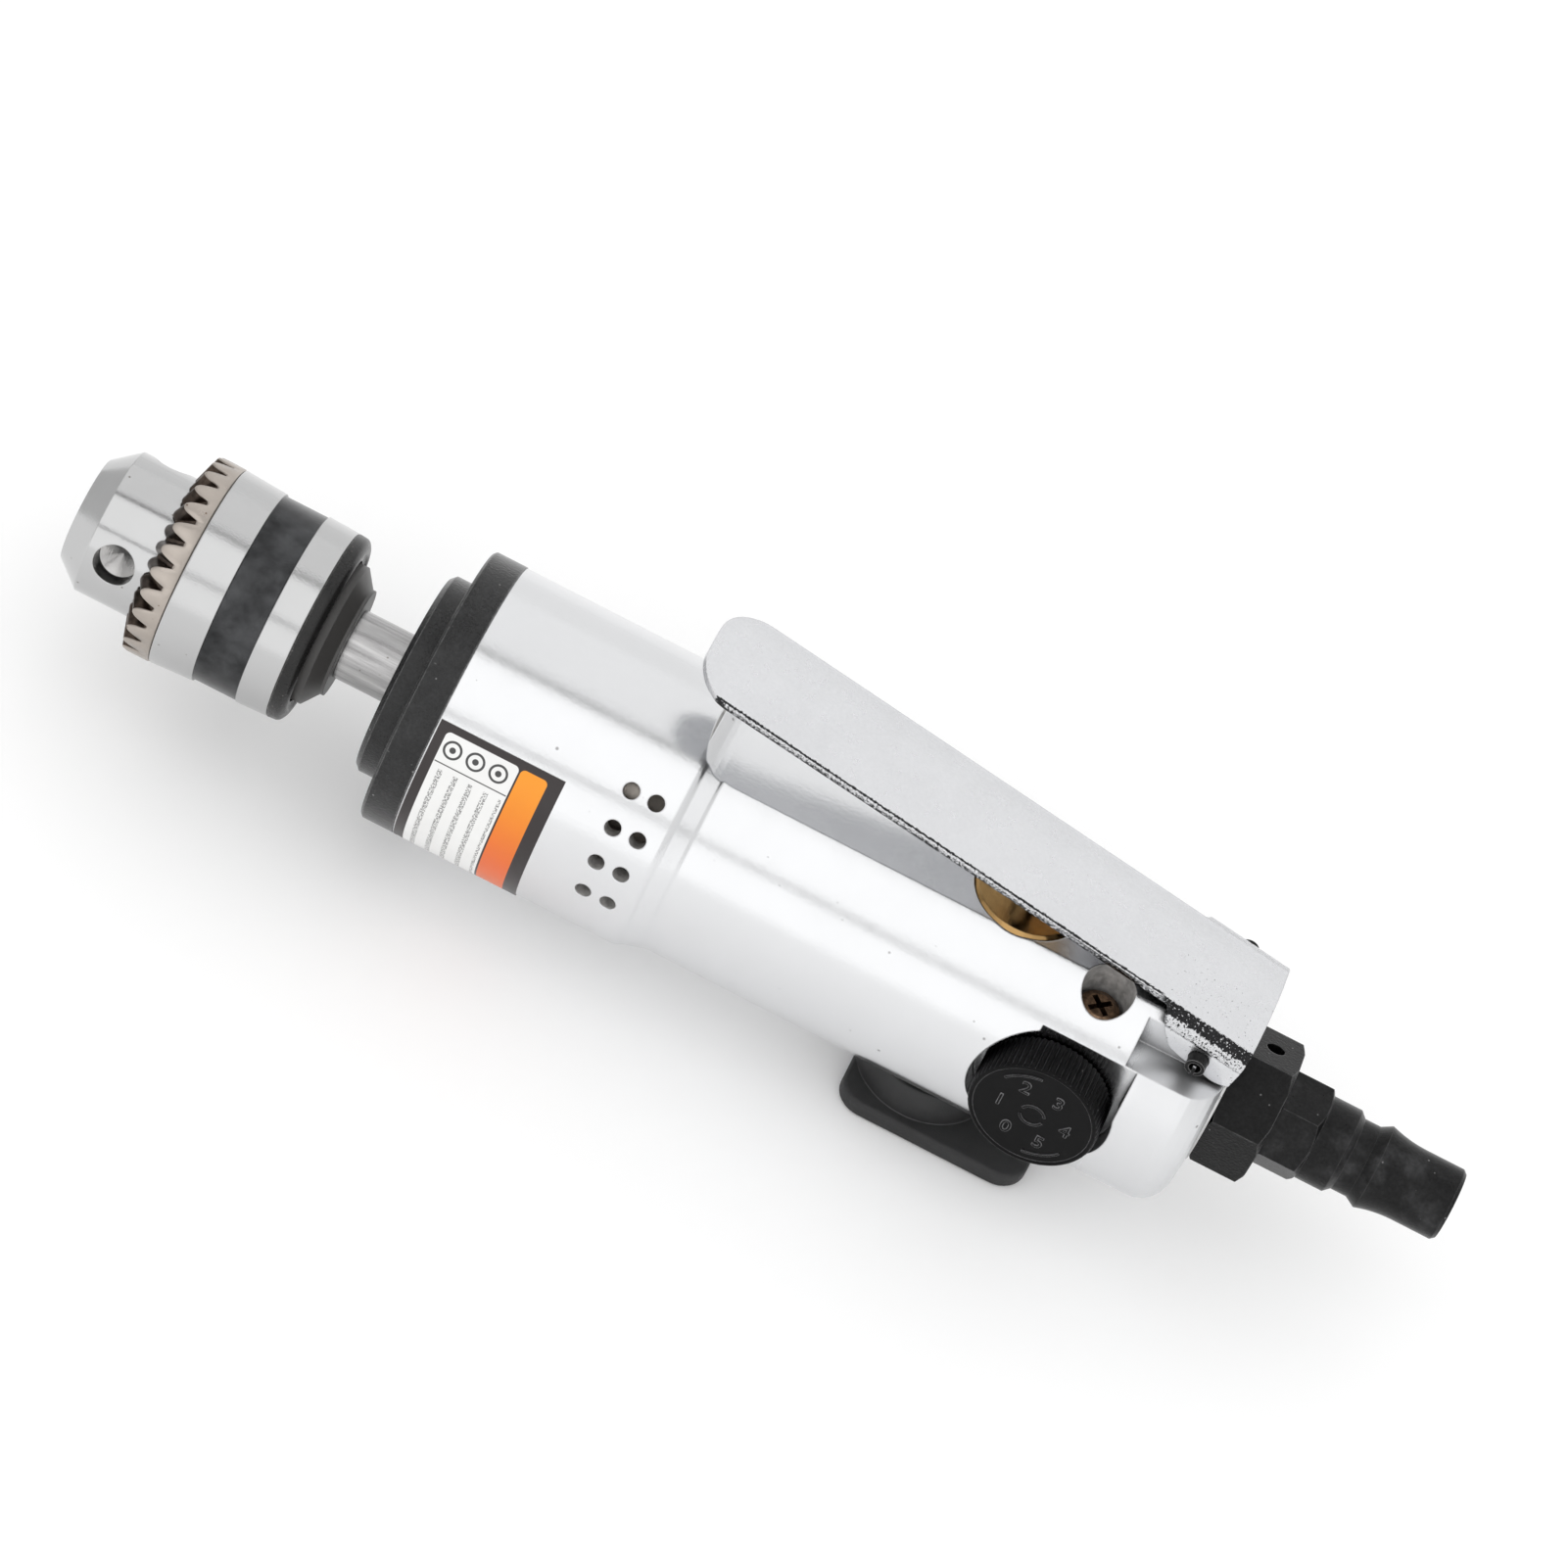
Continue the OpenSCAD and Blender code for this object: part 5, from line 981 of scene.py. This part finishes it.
class DRILL_OT_spring(bpy.types.Operator):
    """Make the throttle's coil spring, which shortens on the tool as the stem comes down; here it is made at rest
    """

    bl_idname = "drill.spring"
    bl_label = "Throttle Spring"

    def execute(self, context):
        s = sizes()
        low, high = box_mm("throttle_spring")
        wire, centre, tall = s.spring_wire, (low + high) / 2, high[2] - low[2]
        coil = (high[0] - low[0]) / 2 - wire
        # The wire's middle runs up a helix, and its round section stands on the radial and the upright:
        # p = centre + (coil + wire cos b) (cos a, sin a) + z up, with z = a / (2 pi) * pitch + wire sin b.
        a = np.linspace(0, 2 * np.pi * s.spring_turns, 48 * s.spring_turns + 1)[:, None]
        b = circle(12)
        z = low[2] + wire + (tall - 2 * wire) * a / a[-1] + wire * np.sin(b)
        shape = swept("Z", (centre[0], centre[1], 0), coil + wire * np.cos(b), a, z)
        coiled = piece("spring_coil", shape, "body", "bearing_steel", 60)
        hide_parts("throttle_spring")
        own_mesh(coiled)
        return {"FINISHED"}


class DRILL_OT_speed_knob(bpy.types.Operator):
    """Make the knurled speed knob with its rim, arcs and plain numbers"""

    bl_idname = "drill.speed_knob"
    bl_label = "Speed Knob"

    def execute(self, context):
        s = sizes()
        low, high = box_mm("speed_knob")
        radius, tall = (high[0] - low[0]) / 2, high[1] - low[1]
        at = np.array([(low[0] + high[0]) / 2, high[1], (low[2] + high[2]) / 2])
        face, crest, rim = tall - 0.22, radius - 0.42, radius - s.rim
        side = [[radius, h] for h in np.linspace(0.4, tall - 0.75, 5)]
        profile = np.array([[radius - 0.5, 0], *side, [radius - 0.06, tall - 0.45],
                            [radius - 0.22, tall - 0.15], [crest, tall], [rim, tall - 0.01],
                            [rim - 0.12, tall - 0.08], [rim - 0.22, face], [rim - 0.6, face]])
        # Knurl: the radius falls by its depth where 1 - |sin|^0.8 is 1, on the rows of the side only.
        on_side = np.array([0.4, 1, 1, 1, 1, 1, 0.35] + [0.0] * (len(profile) - 7))[:, None]
        a = circle(s.knurls * 8)
        groove = 1 - np.abs(np.sin(a * s.knurls / 2)) ** 0.8
        r = profile[:, :1] * (1 - groove * on_side * s.knurl_depth / radius)
        # On the face: two arcs near the rim, the numbers on their circle and two arcs round the middle.
        top = at - [0, face - 0.05, 0]
        mark, numbers = 0.17, 5.4
        parts = [swept("Y", at, r, a, -profile[:, 1:])]
        for start in (98, 278):
            parts.append(raised_arc(top, 7.9, start, start + 44, 0.34, mark + 0.05))
        for k, word in enumerate("012345"):
            turn = math.radians(240 - 60 * k)
            place = top + [numbers * math.cos(turn), -mark / 2, numbers * math.sin(turn)]
            parts.append(raised_text(word, s.numeral, mark / 2 + 0.02, place))
        for start in (20, 200):
            parts.append(raised_arc(top, 1.9, start, start + 140, 0.4, mark))
        knob = piece("knob_shell", joined(*parts), "speed_control", "black_plastic", 42)
        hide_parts("speed_knob")
        return {"FINISHED"}


def rounded_slab(low, high, corner, edge, steps=9):
    """A flat plate with rounded corners and edges: the outline is a rounded rectangle, and row by row it is
    drawn in by edge (1 - cos b) while the height goes by edge sin b: a quarter circle above and below."""
    b = np.linspace(0, np.pi / 2, 5)
    inset = np.concatenate([edge * (1 - np.sin(b)), edge * (1 - np.cos(b))])
    z = np.concatenate([low[2] + edge * (1 - np.cos(b)), high[2] - edge + edge * np.sin(b)])
    a = (np.linspace(0, np.pi / 2, steps)[None, :] + np.arange(4)[:, None] * np.pi / 2).ravel()
    quarter = np.repeat(np.arange(4), steps)
    cx = np.where((quarter == 0) | (quarter == 3), high[0] - corner, low[0] + corner)
    cy = np.where(quarter < 2, high[1] - corner, low[1] + corner)
    return swept("Z", np.stack([cx, cy, 0 * cx], -1), corner - inset[:, None], a, z[:, None])


class DRILL_OT_reversing_lever(bpy.types.Operator):
    """Make the reversing lever: a rounded plate under a round hub"""

    bl_idname = "drill.reversing_lever"
    bl_label = "Reversing Lever"

    def execute(self, context):
        low, high = box_mm("reversing_lever")
        axis = JOINTS["reversing_turn"]["pos_m"][0] / MM
        hub, step = axis - low[0], low[2] + 3.0
        plate = rounded_slab((low[0] + 0.6, low[1], low[2]), (high[0], high[1], step), 4.5, 0.7)
        boss = rounded_slab((axis - hub, -hub, step - 1.0), (axis + hub, hub, high[2]), hub - 0.001, 0.35, 20)
        lever = piece("reversing_shell", joined(plate, boss), "reversing_control", "dark_plastic")
        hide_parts("reversing_lever")
        return {"FINISHED"}


class DRILL_OT_label(bpy.types.Operator):
    """Make the curved label with its plain fields"""

    bl_idname = "drill.label"
    bl_label = "Label"

    def execute(self, context):
        low, high = box_mm("label_plate")
        start, end = math.asin(low[2] / LABEL_SEAT), math.asin(high[2] / LABEL_SEAT)
        span, wide = (end - start) * LABEL_OUTER, high[0] - low[0]
        # Two concentric sheets, joined round the rim: the angle runs along the span and x across it.
        a = np.linspace(start, end, 60)[None, :]
        x = np.linspace(low[0], high[0], 12)[:, None]
        (top, faces), (bottom, same) = (swept("X", 0, r, a, x, "sheet") for r in (LABEL_OUTER, LABEL_INNER))
        size = x.size * a.size
        under = (np.array(same)[:, ::-1] + size).tolist()
        grid = np.arange(size).reshape(x.size, a.size)
        rim = np.concatenate([grid[0], grid[1:, -1], grid[-1, -2::-1], grid[-2:0:-1, 0]])
        following = np.roll(rim, -1)
        walls = np.stack([following, rim, rim + size, following + size], -1).tolist()
        points = np.concatenate([top, bottom]).reshape(-1, 3)
        label = piece("label_film", (points, faces + under + walls), "body", "label_film", 50,
                      label_finish(span, wide))
        corner = np.zeros(len(label.data.loops), np.int32)
        label.data.loops.foreach_get("vertex_index", corner)
        p = points[corner]
        flat = np.stack([p[:, 0] - low[0], (np.arctan2(p[:, 2], -p[:, 1]) - start) * LABEL_OUTER], -1)
        label.data.uv_layers.new(name="Label").data.foreach_set("uv", flat.ravel())
        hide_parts("label_plate")
        return {"FINISHED"}


def linked(name, data):
    """An object of the studio, linked to the scene."""
    made = bpy.data.objects.new(name, data)
    bpy.context.scene.collection.objects.link(made)
    return made


def card(name, tone, points, faces):
    """A card that shows in reflections only."""
    made = placed_mesh(name, points, faces, stage_finish(name.replace("_", " "), tone, 500.0, 0.02).material)
    made.visible_camera = made.visible_shadow = made.visible_diffuse = False
    return made


def light_world(level):
    """Even light all round at a level, where the camera, reflections and clear pieces see white."""
    world = bpy.data.worlds.new("studio")
    world.use_nodes = True
    bpy.context.scene.world = world
    tree = world.node_tree
    back = tree.nodes["Background"]
    put(back.inputs[0], (1, 1, 1, 1))
    put(back.inputs[1], level)
    white = node(tree, "ShaderNodeBackground", {0: (1, 1, 1, 1), 1: 1.0})
    ray = node(tree, "ShaderNodeLightPath").outputs
    seen = maths("MAXIMUM", ray["Is Camera Ray"], ray["Is Glossy Ray"])
    seen = maths("MAXIMUM", seen, ray["Is Transmission Ray"])
    mix = node(tree, "ShaderNodeMixShader", {0: seen, 1: back.outputs[0], 2: white.outputs[0]})
    put(tree.nodes["World Output"].inputs[0], mix.outputs[0])


def softbox(name, aim, low, high, level, away=1.7, wide=3.2):
    """A softbox on the camera's side, across a range of directions above the horizon."""
    middle = math.radians((low + high) / 2)
    lamp = bpy.data.lights.new(name, "AREA")
    lamp.shape, lamp.size = "RECTANGLE", wide
    lamp.size_y = 2 * away * math.tan(math.radians((high - low) / 2))
    lamp.energy = level * math.pi * lamp.size * lamp.size_y
    made = linked(name, lamp)
    made.location = aim + away * Vector((0, -math.cos(middle), math.sin(middle)))
    made.rotation_euler = (aim - made.location).to_track_quat("-Z", "Y").to_euler()
    made.visible_camera = False


class DRILL_OT_studio(bpy.types.Operator):
    """Lay the floor, set the lights and place the camera at the photograph's angle"""

    bl_idname = "drill.studio"
    bl_label = "Studio"

    def execute(self, context):
        scene, st = context.scene, settings("drill_studio")
        a, floor_z, radius = circle(96)[0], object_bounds()[0][2] - 0.0001, 4.0
        paint = stage_finish("Studio floor", 0.97, 300.0, 0.004)
        paint.set("Emission Color", (1.0, 1.0, 1.0, 1.0))
        paint.set("Emission Strength", 0.05)
        disc = np.stack([radius * np.cos(a), radius * np.sin(a), floor_z + 0 * a], -1)
        floor = placed_mesh("floor", disc, [list(range(a.size))], paint.material)
        light_world(st.world_level)
        aim = Vector((0.112, 0.0, 0.0))
        softbox("softbox_low", aim, -18, 32, st.box_level)
        softbox("softbox_high", aim, 36, 85, st.box_level)
        # A grey card above and behind gives the metal its darker upper edge; thin dark strips above, between
        # the softboxes and below draw lengthwise lines in it
        cards = []
        for name, tone, start, end, reach in (("grey_card", st.card_tone, 97, 150, 1.5),
                                              ("strip_high", 0.12, 87.5, 91.0, 1.5),
                                              ("strip_mid", 0.30, 32.2, 34.8, 1.5),
                                              ("strip_low", 0.25, -26.0, -21.5, 0.28)):
            b = np.radians(np.linspace(start, end, 12))[:, None]
            cards.append(card(name, tone, *swept("X", 0, reach, b, np.array([[-1.5, 1.7]]), "sheet")))
        # Grey cards past both ends darken the cones and end faces
        for name, x, tone in (("card_front", -0.9, 0.66), ("card_rear", 1.2, 0.80)):
            corners = [(x, -2.4, -0.02), (x, 2.4, -0.02), (x, 2.4, 2.6), (x, -2.4, 2.6)]
            cards.append(card(name, tone, corners, [(0, 1, 2, 3)]))
        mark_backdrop(floor, *cards)

        camera = linked("camera", bpy.data.cameras.new("camera"))
        camera.data.lens, camera.data.sensor_width, camera.data.clip_end = st.lens, 36.0, 20.0
        eye, target = Vector((0.133, -0.7359, 0.7769)), Vector((0.1123, 0.0078, 0.0076))
        ahead = (target - eye).normalized()
        flat = (Vector((1, 0, 0)) - ahead.x * ahead).normalized()
        up = flat.cross(ahead)
        ca, sa = math.cos(st.roll), math.sin(st.roll)
        turn = Matrix((flat * ca + up * sa, up * ca - flat * sa, -ahead)).transposed()
        camera.matrix_world = Matrix.Translation(eye) @ turn.to_4x4()
        scene.camera = camera
        scene.view_settings.view_transform = "Standard"
        return {"FINISHED"}


class DRILL_PT_panel(bpy.types.Panel):
    """Lists the sizes, colours and steps"""

    bl_idname = "DRILL_PT_panel"
    bl_label = "Air Drill"
    bl_space_type = "VIEW_3D"
    bl_region_type = "UI"
    bl_category = "Air Drill"

    def draw(self, context):
        layout = self.layout
        for holder, cls in GROUPS.items():
            column = layout.column(align=True)
            for key in cls.__annotations__:
                column.prop(getattr(context.scene, holder), key)
        for step in STEPS:
            layout.operator(step.bl_idname)


STEPS = (DRILL_OT_finishes, DRILL_OT_chuck_rings, DRILL_OT_key_holes, DRILL_OT_lever, DRILL_OT_spring,
         DRILL_OT_speed_knob, DRILL_OT_reversing_lever, DRILL_OT_label, DRILL_OT_studio)
GROUPS = {"drill_sizes": DrillSizes, "drill_colours": DrillColours, "drill_studio": DrillStudio}


def register():
    for cls in (*GROUPS.values(), *STEPS, DRILL_PT_panel):
        bpy.utils.register_class(cls)
    for name, cls in GROUPS.items():
        setattr(bpy.types.Scene, name, PointerProperty(type=cls))


def unregister():
    for name in GROUPS:
        delattr(bpy.types.Scene, name)
    for cls in reversed((*GROUPS.values(), *STEPS, DRILL_PT_panel)):
        bpy.utils.unregister_class(cls)


def main():
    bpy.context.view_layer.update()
    register()
    for step in STEPS:
        area, name = step.bl_idname.split(".")
        getattr(getattr(bpy.ops, area), name)()


if __name__ == "__main__":
    main()
